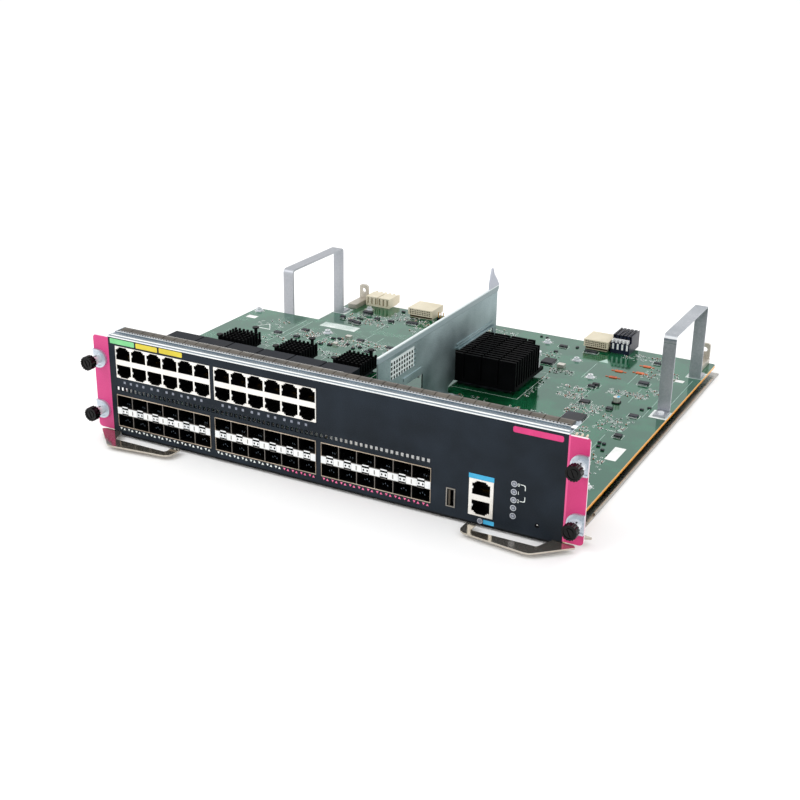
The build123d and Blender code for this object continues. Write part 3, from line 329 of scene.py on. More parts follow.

# Galvanised wall: a folded rim band with a painted highlight along its top and a painted shade line under it,
# a grille with painted highlights on its wires over painted shade, a paler tab
wall = "divider_wall"
tabTop = boxOf(wall)[1][2] + 1
hem = {"low": 70.9, "line": 0.6, "top": 76.1, "rim": 1.0}
grille = {"y": (87.6, 125.4), "z": (51.6, 67.8), "face": 9.9, "proud": 10.4, "deep": 2}
behind = (grille["face"] - grille["deep"], grille["face"])
finish[wall] = makeFinish(
    "wallZinc", "#b6c7ca", "#7f9296", 1, 0.46, 0.9, 0.014,
    zones=(zone(wall, "#8b9ca0", z=(hem["low"], hem["top"])),
           zone(wall, "#dce4e5", z=(hem["top"] - hem["rim"], hem["top"])),
           zone(wall, "#4f5f62", z=(hem["low"] - hem["line"], hem["low"])),
           zone(wall, "#161c1d", behind, grille["y"], grille["z"]),
           zone(wall, "#dbe4e4", (grille["face"], grille["proud"]), grille["y"], grille["z"]),
           zone(wall, "#b9bdc9", z=(hem["top"], tabTop))))

# Galvanised strip: a painted highlight where the front leg's outer bend catches the light, with painted shade
# lines below it
low, high = boxOf("bracket_right")
frontLeg = (low[1] - 1, (low[1] + high[1]) / 2)
bends = ((3.4, 1.7, "#dcdfe2"), (4.8, 3.8, "#56636a"), (7.4, 6.9, "#66736f"))  # two depths from the top
finish["bracket_right"] = makeFinish(
    "bracketZinc", "#bfc1c6", "#9aa0a6", 1, 0.48, 1.2, 0.003,
    zones=[zone("bracket_right", paint, y=frontLeg, z=(high[2] - start, high[2] - stop))
           for start, stop, paint in bends])

# Which finish each other node of the CAD part takes, by the start of its name
dress = {"front_panel": "powderCoatSlate", "top_strip": "rolledSteel", "gasket_strip": "gasketWeave",
         "light_guides": "milkyGuide", "jack_lights": "greyLens", "status_lamps": "greyLens",
         "reset_switch": "mouldedBlack", "main_board": "solderMaskGreen", "upper_board": "solderMaskGreen",
         "tray": "traySheet", "board_spacers": "turnedSteel", "upper_posts": "turnedSteel",
         "heat_sink": "anodisedBlack", "pin_sink": "anodisedBlack", "push_pins": "mouldedBlack",
         "large_chips": "chipBlack", "transformer_blocks": "slateCover", "bracket_left": "zincSheet",
         "board_screws": "polishedSleeve", "power_connector_white": "ivoryNylon",
         "power_connector_black": "deepBlue", "pin_header": "mouldedBlack", "guide_block": "castZinc",
         "small_chips": "chipBlack", "coils": "tinnedSteel", "lever_left": "leverSteel",
         "lever_right": "leverSteel", "lever_pivots": "turnedSteel", "screw_seats": "seatSteel",
         "screw_sleeves": "polishedSleeve", "shank_": "turnedSteel", "ring_": "turnedSteel",
         "knob_": "glossBlack"}
for node, piece in nodes.items():
    chosen = node if node in finish else dress[next(start for start in dress if node.startswith(start))]
    for slot in piece.material_slots:
        slot.material = finish[chosen]
print("finishes on", len(nodes), "nodes")

# A shape is an outline carried through levels: point = centre + outline * (size - 2 * inset) + height * level
# A place is x, y, z, width, depth and height, and a level is an inset in mm with a share of the height
square = np.array([(-0.5, -0.5), (0.5, -0.5), (0.5, 0.5), (-0.5, 0.5)])
triangle = np.array([(-0.5, -0.5), (0.5, -0.5), (0.0, 0.5)])
facings = {"up": ((1, 0, 0), (0, 1, 0), (0, 0, 1)), "front": ((1, 0, 0), (0, 0, 1), (0, -1, 0))}


def circle(corners):
    angle = 2 * pi * np.arange(corners) / corners
    return np.stack([np.cos(angle), np.sin(angle)], axis=1) / 2


def rounded(wide, deep, radius, steps=6):  # four quarter circles joined by straight sides
    angle = np.linspace(0, pi / 2, steps)
    quarter = radius * np.stack([np.cos(angle), np.sin(angle)], axis=1)
    parts = []
    for x, y in ((1, 1), (-1, 1), (-1, -1), (1, -1)):
        corner = (x * (wide / 2 - radius), y * (deep / 2 - radius))
        parts.append((quarter if x * y > 0 else quarter[::-1]) * (x, y) + corner)
    return np.concatenate(parts)


def addShape(name, places, kind, outline=square, levels=((0, 0), (0, 1)), facing="up", turn=0.0,
             hollow=0.0, body="module"):
    if hollow:  # a wall of this width round a hole
        levels = ((0, 0), (0, 1), (hollow, 1), (hollow, 0))
    places = np.atleast_2d(np.asarray(places, float))
    levels = np.asarray(levels, float)
    outline = np.asarray(outline, float)
    turn = (np.zeros(len(places)) + turn)[:, None, None]
    flat = outline * (places[:, None, None, 3:5] - 2 * levels[None, :, None, :1])
    across = flat[..., 0] * np.cos(turn) - flat[..., 1] * np.sin(turn)
    along = flat[..., 0] * np.sin(turn) + flat[..., 1] * np.cos(turn)
    height = levels[None, :, None, 1] * places[:, None, None, 5] + 0 * across
    axes = np.array(facings[facing], float)
    points = (places[:, None, None, :3] + across[..., None] * axes[0] + along[..., None] * axes[1]
              + height[..., None] * axes[2]) * mm
    count, rows, corners = across.shape
    index = np.arange(count * rows * corners).reshape(count, rows, corners)
    lower, upper = (index, np.roll(index, -1, 1)) if hollow else (index[:, :-1], index[:, 1:])
    quads = np.stack([lower, np.roll(lower, -1, 2), np.roll(upper, -1, 2), upper], axis=-1).reshape(-1, 4)
    faces = quads.tolist()
    if not hollow:
        faces += index[:, -1].tolist() + index[:, 0, ::-1].tolist()
    mesh = bpy.data.meshes.new(name)
    mesh.from_pydata(points.reshape(-1, 3), [], faces)
    mesh.materials.append(finish[kind])
    piece = bpy.data.objects.new(name, mesh)
    bpy.context.scene.collection.objects.link(piece)
    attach(piece, body)


def portCentres(low, high, count):  # x of the middles of a block's columns of mouths
    pitch = (high[0] - low[0]) / count
    return low[0] + (np.arange(count) + 0.5) * pitch


def solidBoxes(node):  # the low and high corner of every separate solid in a node
    mesh = nodes[node].data
    spots = np.zeros(len(mesh.vertices) * 3)
    mesh.vertices.foreach_get("co", spots)
    spots = spots.reshape(-1, 3) / mm
    corners = np.zeros(len(mesh.loops), int)
    mesh.loops.foreach_get("vertex_index", corners)
    same, names = np.unique(np.round(spots, 3), axis=0, return_inverse=True)
    faces = names.ravel()[corners].reshape(-1, 3)
    group = np.arange(len(same))
    while True:  # each face passes its lowest label on to its corners
        lowest = group[faces].min(axis=1)
        before = group.copy()
        np.minimum.at(group, faces, lowest[:, None])
        if (group == before).all():
            break
    solids = [same[group == label] for label in np.unique(group)]
    return np.array([np.concatenate([solid.min(axis=0), solid.max(axis=0)]) for solid in solids])


# Flat coloured fields printed on the panel
prints = {"thick": 0.06, "corner": 0.7, "square": 0.15}
jackLow, jackHigh = boxOf("control_jacks")
fields = {  # name: left, right, low, high, corner radius, finish
    "fieldGreen": (-183.0, -160.0, 74.2, 78.2, prints["corner"], "greenField"),
    "fieldYellowA": (-158.6, -138.6, 74.2, 78.1, prints["corner"], "yellowField"),
    "fieldYellowB": (-137.0, -116.0, 74.4, 78.3, prints["corner"], "yellowField"),
    "fieldPink": (146.8, 181.6, 72.7, 76.9, 2 * prints["corner"], "pinkField"),
    "fieldBlueTop": (jackLow[0] - 0.4, jackHigh[0] + 0.2, jackHigh[2] + 0.1, jackHigh[2] + 3.5,
                     prints["square"], "blueField"),
    "fieldBlueLow": (128.6, 136.4, 1.7, 4.7, prints["square"], "blueField"),
}
for name, (left, right, low, high, corner, kind) in fields.items():
    addShape(name, ((left + right) / 2, 0, (low + high) / 2, 1, 1, prints["thick"]), kind,
             outline=rounded(right - left, high - low, corner), facing="front")

# Small triangles under the port cages, pointing down and up in turn, white on the left and pink on the right
marks = {"z": 5.4, "side": 2.1, "tall": 1.8, "pitch": 7.215, "pair": 3.0, "count": 12, "pinkLast": 4}
cages = ["port_cage_left", "port_cage_middle", "port_cage_right"]
places, turns = [], []
for cage in cages:
    low, high = boxOf(cage)
    steps = np.arange(marks["count"]) - (marks["count"] - 1) / 2
    for shift, turned in ((-marks["pair"] / 2, pi), (marks["pair"] / 2, 0.0)):
        for x in (low[0] + high[0]) / 2 + steps * marks["pitch"] + shift:
            places.append((x, 0, marks["z"], marks["side"], marks["tall"], prints["thick"]))
            turns.append(turned)
places, turns = np.array(places), np.array(turns)
pinkOnes = places[:, 0] > boxOf("port_cage_middle")[1][0] - marks["pinkLast"] * marks["pitch"]
for name, some, kind in (("White", ~pinkOnes, "whitePrint"), ("Pink", pinkOnes, "pinkMark")):
    addShape("portMarks" + name, places[some], kind, outline=triangle, facing="front", turn=turns[some])

# Grey rings round the status lamps and the jack lamp, with a fine cross in each lamp
rings = {"wide": 4.3, "line": 0.55, "jackLamp": (126.1, 3.1), "jackLess": 0.3, "dot": 2.6,
         "crossLong": 1.6, "crossWide": 0.28, "crossThick": 0.05}
lampBoxes = solidBoxes("status_lamps")
lampX = (lampBoxes[:, 0] + lampBoxes[:, 3]).mean() / 2
lampZ = np.sort((lampBoxes[:, 2] + lampBoxes[:, 5]) / 2)[::-1]
dotX, dotZ = rings["jackLamp"]
jackRing = rings["wide"] - rings["jackLess"]
lampPlaces = [(lampX, 0, z, rings["wide"], rings["wide"], prints["thick"]) for z in lampZ]
lampPlaces.append((dotX, 0, dotZ, jackRing, jackRing, prints["thick"]))
addShape("lampRings", lampPlaces, "ringPrint", outline=circle(28), facing="front", hollow=rings["line"])
addShape("jackLampDot", (dotX, 0, dotZ, rings["dot"], rings["dot"], prints["thick"]), "greyLens",
         outline=circle(20), facing="front")
crossSizes = ((rings["crossLong"], rings["crossWide"]), (rings["crossWide"], rings["crossLong"]))
addShape("lampFilaments", [(lampX, lampBoxes[0, 1], z, wide, tall, rings["crossThick"])
                           for z in lampZ for wide, tall in crossSizes], "ringPrint", facing="front")

# A painted shade round the reset hole, a dark ring
shade = {"more": 1.3, "line": 0.65, "thick": 0.04}
low, high = boxOf("reset_button")
middle = (low + high) / 2
wide = high[0] - low[0] + shade["more"]
addShape("resetShade", (middle[0], 0, middle[2], wide, wide, shade["thick"]), "anodisedBlack",
         outline=circle(28), facing="front", hollow=shade["line"])

# A printed line that joins two lamps: x, z, width, height of each stroke
strokes = ((155.3, 36.7, 2.8, 0.45), (156.9, 36.2, 0.8, 0.8), (157.4, 34.6, 0.45, 3.4),
           (157.4, 26.7, 0.45, 3.4), (156.9, 25.0, 0.8, 0.8), (155.3, 24.6, 2.8, 0.45))
addShape("slotBracket", [(x, 0, z, wide, tall, prints["thick"]) for x, z, wide, tall in strokes],
         "whitePrint", facing="front")

# Plain numbers beside the first three lamps
numbers = {"tall": 2.3, "right": 3.2, "font": 1.4, "thick": 0.02, "proud": 0.04}


def addNumber(text, x, z, tall, kind):
    curve = bpy.data.curves.new("number", "FONT")
    curve.body, curve.align_x = text, "CENTER"
    curve.size, curve.extrude = tall * mm * numbers["font"], numbers["thick"] * mm
    holder = bpy.data.objects.new("number", curve)
    bpy.context.scene.collection.objects.link(holder)
    bpy.context.view_layer.update()
    mesh = bpy.data.meshes.new_from_object(holder)
    spot = (x * mm, -numbers["proud"] * mm, (z - tall / 2) * mm)
    mesh.transform(Matrix.Translation(spot) @ Matrix.Rotation(pi / 2, 4, "X"))
    bpy.data.objects.remove(holder)
    mesh.materials.clear()
    mesh.materials.append(finish[kind])
    piece = bpy.data.objects.new("number" + text, mesh)
    bpy.context.scene.collection.objects.link(piece)
    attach(piece, "module")


for n in range(3):
    addNumber(str(n), lampX + numbers["right"], lampZ[n], numbers["tall"], "whitePrint")
print("prints on the panel")

# White latch faces across the column walls of the cages, each with two pale insets and a slot in painted grey
# shade. Between them a pocket of painted black shade holds a white tie with two eyes of painted black shade,
# under a white bar and over a grey lip
latch = {"wide": 8.4, "tall": 5.3, "proud": 0.35, "insetWide": 2.9, "insetLess": 1.3, "insetAt": 2.25,
         "slotWide": 0.9, "slotTall": 3.2, "pocketWide": 5.5, "pocketTall": 7.6, "tieTall": 3.2,
         "tieDown": 0.2, "tieThick": 0.15, "eyeWide": 1.25, "eyeTall": 1.7, "eyeAt": 1.5, "barTall": 0.95,
         "barUp": 3.35, "barLess": 0.5, "lipUp": 0.3, "lipTall": 0.3, "lipLess": 1, "lipThick": 0.1,
         "gap": 0.05, "film": 0.03}
columns = ports["columns"]
faceRows, insetRows, slotRows, pocketRows, tieRows, eyeRows, lipRows = [], [], [], [], [], [], []
for cage in cages:
    low, high = boxOf(cage)
    middle = high[2] - ports["cageTall"] / 2
    front = low[1] - latch["proud"]
    pitch = (high[0] - low[0]) / columns
    for n in range(columns + 1):
        inner = 0 < n < columns
        wide = latch["wide"] if inner else latch["wide"] / 2
        x = low[0] + n * pitch + {0: wide / 2, columns: -wide / 2}.get(n, 0)
        faceRows.append((x, low[1], middle, wide, latch["tall"], latch["proud"]))
        if inner:
            slotRows.append((x, front, middle, latch["slotWide"], latch["slotTall"], latch["film"]))
            insetRows += [(x + side * latch["insetAt"], front, middle, latch["insetWide"],
                           latch["tall"] - latch["insetLess"], 0.02) for side in (-1, 1)]
    back = low[1] - latch["gap"]
    tieAt = middle - latch["tieDown"]
    for x in portCentres(low, high, columns):
        pocketRows.append((x, low[1] - 0.02, middle, latch["pocketWide"], latch["pocketTall"],
                           latch["film"]))
        tieRows.append((x, back, tieAt, latch["pocketWide"], latch["tieTall"], latch["tieThick"]))
        tieRows.append((x, back, middle + latch["barUp"], latch["pocketWide"] - latch["barLess"],
                        latch["barTall"], latch["tieThick"]))
        lipRows.append((x, back, middle - latch["barUp"] + latch["lipUp"],
                        latch["pocketWide"] - latch["lipLess"], latch["lipTall"], latch["lipThick"]))
        eyeRows += [(x + side * latch["eyeAt"], back - latch["tieThick"], tieAt, latch["eyeWide"],
                     latch["eyeTall"], latch["film"]) for side in (-1, 1)]
addShape("latchFaces", faceRows, "milkyGuide", facing="front", levels=((0, 0), (0, 0.6), (0.25, 1)))
addShape("latchShades", insetRows, "paperLabel", facing="front")
addShape("latchSlotShades", slotRows, "fadedGrey", facing="front")
addShape("latchPocketShades", pocketRows, "anodisedBlack", facing="front")
addShape("latchTies", tieRows, "milkyGuide", facing="front")
addShape("latchEyeShades", eyeRows, "anodisedBlack", outline=circle(14), facing="front")
addShape("latchLips", lipRows, "fadedGrey", facing="front")

# In each jack a small sprung tab at the mouth's left wall, and a row of eight contacts
tabs = {"left": 6.3, "front": 0.5, "up": 6.6, "wide": 0.9, "tall": 1.9, "thick": 0.25}
wires = {"count": 8, "pitch": 1.02, "wide": 0.3, "long": 2.2, "front": 9.4, "off": 2.75}
jackBlocks = (  # block, columns, from its top to between the two rows, height between the contacts if another
    ("jack_block_left", columns, ports["jackTall"] / 2, None),
    ("jack_block_right", columns, ports["jackTall"] / 2, None), ("control_jacks", 1, 26.1 / 2, 20.0))
tabRows, wireRows = [], []
for block, across, half, contactsAt in jackBlocks:
    low, high = boxOf(block)
    middle = high[2] - half
    base = middle if contactsAt is None else contactsAt
    for x in portCentres(low, high, across):
        for up in (-1, 1):
            tabRows.append((x - tabs["left"], low[1] + tabs["front"], middle + up * tabs["up"], tabs["wide"],
                            tabs["tall"], tabs["thick"]))
            for k in np.arange(wires["count"]) - (wires["count"] - 1) / 2:
                wireRows.append((x + k * wires["pitch"], wires["front"], base + up * wires["off"],
                                 wires["wide"], wires["wide"], wires["long"]))
addShape("jackTabs", tabRows, "milkyGuide", outline=circle(12), facing="front")
addShape("jackContacts", wireRows, "goldContact", facing="front")

# Painted light on the strip's folds: painted highlights on the front edge, the end and the rib, painted shade
# lines and a painted sheen band, and on the gasket's scalloped foot a painted shadow with pale painted
# highlight ticks, and a painted highlight along the gasket's top edge
folds = {"rib": 9.45, "ribWide": 1.1, "less": 2.6, "edgeDown": 0.5, "edgeTall": 0.98, "endX": 184.6,
         "endWide": 3.4, "endDeep": 5.0, "sheen": 3.3, "sheenWide": 2.0, "film": 0.02,
         "shadows": ((8.1, 0.9), (1.2, 0.7), (5.6, 0.5))}
foot = {"up": 0.8, "tall": 1.2, "tickUp": 1.05, "pitch": 2.46, "tickWide": 1.5, "tickTall": 0.6,
        "edgeDown": 0.25, "edgeTall": 0.3, "film": 0.03}
half, _, stripTop = boxOf("top_strip")[1]
gasketLow, gasketHigh = boxOf("gasket_strip")
flatTop = gasketLow[2]
ribLong = 2 * half - folds["less"]
addShape("stripEdgeHighlight", (0, 0, flatTop - folds["edgeDown"], 2 * half, folds["edgeTall"], 0.04),
         "milkyGuide", facing="front")
addShape("stripEndHighlight", (folds["endX"], folds["rib"], stripTop, folds["endWide"], folds["endDeep"], 0.05),
         "milkyGuide")
addShape("stripRibHighlight", (0, folds["rib"], stripTop, ribLong, folds["ribWide"], 0.03), "milkyGuide")
addShape("stripShadow", [(0, y, flatTop, ribLong, wide, folds["film"]) for y, wide in folds["shadows"]],
         "shadeLineAndGlint")
addShape("stripSheen", (0, folds["sheen"], flatTop, ribLong, folds["sheenWide"], folds["film"]),
         "paperLabel")
ticksX = np.arange(-gasketHigh[0] + 1.5, gasketHigh[0] - 1, foot["pitch"])
addShape("gasketFootShadow", (0, gasketLow[1], flatTop + foot["up"], 2 * gasketHigh[0] - 1, foot["tall"],
                        folds["film"]), "anodisedBlack", facing="front")
addShape("gasketTickHighlights", [(x, gasketLow[1], flatTop + foot["tickUp"], foot["tickWide"], foot["tickTall"],
                          foot["film"]) for x in ticksX], "ringPrint", facing="front")
addShape("gasketEdgeHighlight", (0, gasketLow[1] - 0.02, gasketHigh[2] - foot["edgeDown"], 2 * gasketHigh[0],
                        foot["edgeTall"], foot["film"]), "fadedGrey", facing="front")

# A painted shade as a dark slot in each sleeve of the captive screws, and cream springs behind the right
# ear's top edge
slots = {"right": 1.0, "back": 3.2, "down": 0.16, "wide": 1.5, "deep": 2.2, "thick": 0.06}
springs = {"x": (188.2, 191.9, 195.2), "back": 1.0, "down": 0.6, "wide": 1.5, "tall": 4.4, "thick": 1.0}
addShape("sleeveSlotShades", [((b[0] + b[3]) / 2 + slots["right"], b[1] + slots["back"], b[5] - slots["down"],
                          slots["wide"], slots["deep"], slots["thick"]) for b in solidBoxes("screw_sleeves")],
         "mouldedBlack")
earHigh = boxOf("ear_right")[1]
addShape("earSprings", [(x, earHigh[1] + springs["back"], earHigh[2] - springs["down"], springs["wide"],
                         springs["tall"], springs["thick"]) for x in springs["x"]],
         "ivoryNylon", outline=circle(16), facing="front", turn=-0.4)

# Painted glints on the slanting ends of sprung contacts in each port of the cages, as x and z from the face's
# middle
glints = {"deep": 1.6, "wide": 0.35, "tall": 1.0, "thick": 0.1, "slant": 0.4,
          "spots": ((1.6, 6.2), (3.4, 6.0), (-1.2, -8.2), (0.6, -7.4), (2.3, -8.6))}
glintRows = []
for cage in cages:
    low, high = boxOf(cage)
    middle = high[2] - ports["cageTall"] / 2
    glintRows += [(centre + x, low[1] + glints["deep"], middle + z, glints["wide"], glints["tall"],
                   glints["thick"]) for centre in portCentres(low, high, columns) for x, z in glints["spots"]]
addShape("cageContactGlints", glintRows, "shadeLineAndGlint", facing="front", turn=glints["slant"])

# The tongue in the upright socket
tongue = {"right": 2.3, "deep": 1.2, "wide": 1.3, "less": 3.0, "thick": 0.6}
low, high = boxOf("usb_socket")
tall = high[2] - low[2] - tongue["less"]
addShape("usbTongue", (low[0] + tongue["right"], low[1] + tongue["deep"], (low[2] + high[2]) / 2,
                       tongue["wide"], tall, tongue["thick"]), "tongueNylon", facing="front")
print("ports dressed")

# Parts on the boards: leads beside the larger chips, each a flat foot and an upright
leads = {"from": 4, "pitch": 1.0, "wide": 0.4, "reach": 0.9, "foot": 0.15, "riser": 0.24, "near": 0.12,
         "up": 0.55}
chipBoxes = solidBoxes("small_chips")
footRows, riserRows = [], []
for x0, y0, z0, x1, y1, z1 in chipBoxes:
    if max(x1 - x0, y1 - y0) < leads["from"]:
        continue
    acrossX = x1 - x0 >= y1 - y0
    start, stop, sides = (x0, x1, (y0, y1)) if acrossX else (y0, y1, (x0, x1))
    for at in np.arange(start + 0.6, stop - 0.3, leads["pitch"]):
        for side, edge in zip((-1, 1), sides):
            for rows, off, size, tall in (
                    (footRows, edge + side * leads["reach"] / 2, leads["reach"], leads["foot"]),
                    (riserRows, edge + side * leads["near"], leads["riser"], leads["up"] * (z1 - z0))):
                rows.append((at, off, z0, leads["wide"], size, tall) if acrossX
                            else (off, at, z0, size, leads["wide"], tall))
addShape("chipLeads", footRows + riserRows, "tinSolder")

# Where parts already stand: low x, low y, high x, high y and base of each, with a margin round it
margin = 0.9
taken = [solidBoxes(node)[:, [0, 1, 3, 4, 2]]
         for node in ("small_chips", "coils_and_capacitor", "board_screws", "push_pins")]
for node in nodes:
    if node.startswith(("heat_sink", "pin_sink", "transformer_blocks", "header", "power_connector",
                        "pin_header", "bracket", "guide_block", "jack_block", "port_cage", "control_jacks",
                        "usb_socket")):
        low, high = boxOf(node)
        taken.append(np.array([[low[0], low[1], high[0], high[1], low[2]]]))
taken = np.concatenate(taken)
taken[:, :2] -= margin
taken[:, 2:4] += margin
limits = {"edge": 3, "wallX": 9.4, "wallReach": 1.6, "upperX": 5, "upperY": 195, "underX": 9, "underY": 200}


def isFree(x, y, top):  # clear of other parts, the edges and the wall, and not hidden by the upper board
    near = taken[np.abs(taken[:, 4] - top) < 4]
    if ((near[:, 0] < x) & (x < near[:, 2]) & (near[:, 1] < y) & (y < near[:, 3])).any():
        return False
    if abs(x) > panelHalf - limits["edge"] or y > deckBack - limits["edge"]:
        return False
    if abs(x - limits["wallX"]) < limits["wallReach"]:
        return False
    if top == upperTop:
        return x <= limits["upperX"] and y <= limits["upperY"]
    return x >= limits["underX"] or y >= limits["underY"]


def laid(long, wide, alongX):  # a length and a width, laid along x or along y
    return (long, wide) if alongX else (wide, long)


# Small resistors and capacitors in loose rows, bare pads, and a printed dash beside each
clusters = {  # board top, then middle x, middle y, spread x, spread y and number of each group
    "deck": (deckTop, (
        (119, 214, 26, 26, 70), (100, 236, 26, 14, 44), (140, 262, 34, 12, 60), (118, 168, 40, 24, 90),
        (150, 196, 24, 30, 50), (80, 176, 40, 30, 60), (30, 180, 24, 30, 40), (46, 320, 22, 16, 18),
        (95, 252, 26, 12, 28), (150, 318, 30, 26, 44), (126, 352, 40, 16, 40), (72, 284, 22, 10, 26),
        (160, 276, 16, 14, 26), (66, 240, 6, 50, 24), (140, 120, 60, 40, 90), (60, 120, 70, 40, 90),
        (-140, 322, 50, 30, 80), (-110, 345, 40, 20, 60), (-60, 330, 70, 50, 110), (-60, 270, 90, 60, 110),
        (-20, 350, 40, 24, 40), (-150, 270, 40, 60, 50), (-50, 230, 80, 40, 60))),
    "upper": (upperTop, (
        (-78, 156, 26, 20, 60), (-108, 158, 20, 18, 34), (-50, 160, 26, 22, 46), (-20, 160, 22, 30, 40),
        (-130, 130, 40, 26, 30), (-60, 126, 50, 14, 40), (-16, 126, 20, 16, 20), (-150, 170, 30, 20, 12))),
}
small = {"more": 1.5, "gridX": 1.27, "gridY": 1.9, "long": 1.5, "wide": 0.8, "endAt": 0.62, "endLong": 0.42,
         "endWide": 0.86, "pad": 0.62, "lonePad": 0.9, "padThick": 0.04, "dashAt": 1.15, "dashLong": 2.1,
         "dashWide": 0.3, "dashThick": 0.03}
kinds = {"pads": 0.34, "resistors": 0.62, "capacitors": 0.84}  # upper share of each, lone pads are the rest
talls = {"resistor": 0.5, "resistorEnd": 0.52, "capacitor": 0.75, "capacitorEnd": 0.77}
bodyRows, endRows, tanRows, dashRows, padRows = [], [], [], [], []
for top, groups in clusters.values():
    for midX, midY, spreadX, spreadY, number in groups:
        count = int(number * small["more"])
        x = np.round((midX + (rng.random(count) - 0.5) * spreadX) / small["gridX"]) * small["gridX"]
        y = np.round((midY + (rng.random(count) - 0.5) * spreadY) / small["gridY"]) * small["gridY"]
        along = rng.random(count) < 0.5
        kind = rng.random(count)
        for i in np.unique(np.stack([x, y], 1), axis=0, return_index=True)[1]:
            if not isFree(x[i], y[i], top):
                continue
            size = laid(small["long"], small["wide"], along[i])
            endSize = laid(small["endLong"], small["endWide"], along[i])
            endX, endY = laid(small["endAt"], 0, along[i])
            ends = [(x[i] + side * endX, y[i] + side * endY, top) for side in (-1, 1)]
            if kind[i] < kinds["pads"]:
                padRows += [(*end, small["pad"], small["pad"], small["padThick"]) for end in ends]
            elif kind[i] < kinds["resistors"]:
                bodyRows.append((x[i], y[i], top, *size, talls["resistor"]))
                endRows += [(*end, *endSize, talls["resistorEnd"]) for end in ends]
            elif kind[i] < kinds["capacitors"]:
                tanRows.append((x[i], y[i], top, *size, talls["capacitor"]))
                endRows += [(*end, *endSize, talls["capacitorEnd"]) for end in ends]
            else:
                padRows.append((x[i], y[i], top, small["lonePad"], small["lonePad"], small["padThick"]))
            offX, offY = laid(0, small["dashAt"], along[i])
            dashSize = laid(small["dashLong"], small["dashWide"], along[i])
            dashRows.append((x[i] + offX, y[i] + offY, top, *dashSize, small["dashThick"]))
chamfer = ((0, 0), (0, 0.8), (0.08, 1))
addShape("resistorBodies", bodyRows, "bodyBlack", levels=chamfer)
addShape("capacitorBodies", tanRows, "tanCeramic", levels=chamfer)
addShape("partEnds", endRows, "tinSolder", levels=chamfer)
addShape("soldersPads", padRows, "tinSolder")
addShape("printDashes", dashRows, "whitePrint")
print("small parts:", len(bodyRows) + len(tanRows), "pads:", len(padRows))

# Printed outlines round the chips and heat sinks
outlines = {"from": 5, "gap": 1.3, "line": 0.25, "thick": 0.03}
sinkGaps = {"heat_sink": 2.2, "pin_sink_left": 1.4, "pin_sink_middle": 1.4, "pin_sink_right": 1.4}
frames = [(*b[:2], *b[3:5], b[2]) for b in chipBoxes if max(b[3] - b[0], b[4] - b[1]) > outlines["from"]]
for node, gap in sinkGaps.items():
    low, high = boxOf(node)
    top = deckTop if node == "heat_sink" else upperTop
    frames.append((low[0] - gap, low[1] - gap, high[0] + gap, high[1] + gap, top))
outlineRows = []
for x0, y0, x1, y1, top in frames:
    gap, line = outlines["gap"], outlines["line"]
    x0, y0, x1, y1 = x0 - gap, y0 - gap, x1 + gap, y1 + gap
    for x, y, wide, deep in (((x0 + x1) / 2, y0, x1 - x0, line), ((x0 + x1) / 2, y1, x1 - x0, line),
                             (x0, (y0 + y1) / 2, line, y1 - y0), (x1, (y0 + y1) / 2, line, y1 - y0)):
        outlineRows.append((x, y, top, wide, deep, outlines["thick"]))
addShape("printOutlines", outlineRows, "whitePrint")

# White printed pads under the brackets' feet, stickers, and printed fields, marks and lines
footPads = {"wide": 14.6, "deep": 17.0, "inward": 0.6, "fromEnd": 6, "thick": 0.05}
padPlaces = []
for node, side in (("bracket_left", 1), ("bracket_right", -1)):
    low, high = boxOf(node)
    for y in (low[1] + footPads["fromEnd"], high[1] - footPads["fromEnd"]):
        padPlaces.append(((low[0] + high[0]) / 2 + side * footPads["inward"], y, deckTop, footPads["wide"],
                          footPads["deep"], footPads["thick"]))
addShape("footPads", padPlaces, "speckledPrint")
stickers = [(171.2, 142.0, deckTop, 8.6, 25.0, 0.08), (168.6, 313.4, deckTop, 7.4, 5.6, 0.08),
            (-174.5, 175.1, upperTop, 9.5, 6.0, 0.08)]
addShape("stickers", stickers, "paperLabel")
addShape("printedField", (-94.8, 190.0, upperTop, 34.0, 11.0, 0.05), "speckledPrint")
addShape("printedTriangle", (-150.0, 160.0, upperTop, 17.0, 13.0, 0.04), "whitePrint",
         outline=triangle, hollow=1.2)
arrows = [(96.0, 330.0, deckTop, 9.0, 10.0, 0.04), (160.0, 190.0, deckTop, 4.0, 12.0, 0.04)]
addShape("printedArrows", arrows, "fadedPrint", outline=triangle)
trackLines = {"thick": 0.03, "wide": 0.4}
lines = [  # x, y, z and length
    (-128, 160, upperTop, 60), (-122, 165, upperTop, 50), (-60, 170, upperTop, 36), (-48, 168, upperTop, 30),
    (-100, 140, upperTop, 26), (-30, 150, upperTop, 40), (92, 300, deckTop, 40), (146, 262, deckTop, 34),
    (152, 150, deckTop, 46), (132, 300, deckTop, 30), (-120, 300, deckTop, 44), (-70, 310, deckTop, 50),
    (-30, 290, deckTop, 40), (166, 250, deckTop, 60), (178, 280, deckTop, 80), (110, 250, deckTop, 24)]
addShape("trackLines", [(x, y, top, trackLines["wide"], long, trackLines["thick"])
                        for x, y, top, long in lines], "fadedPrint")

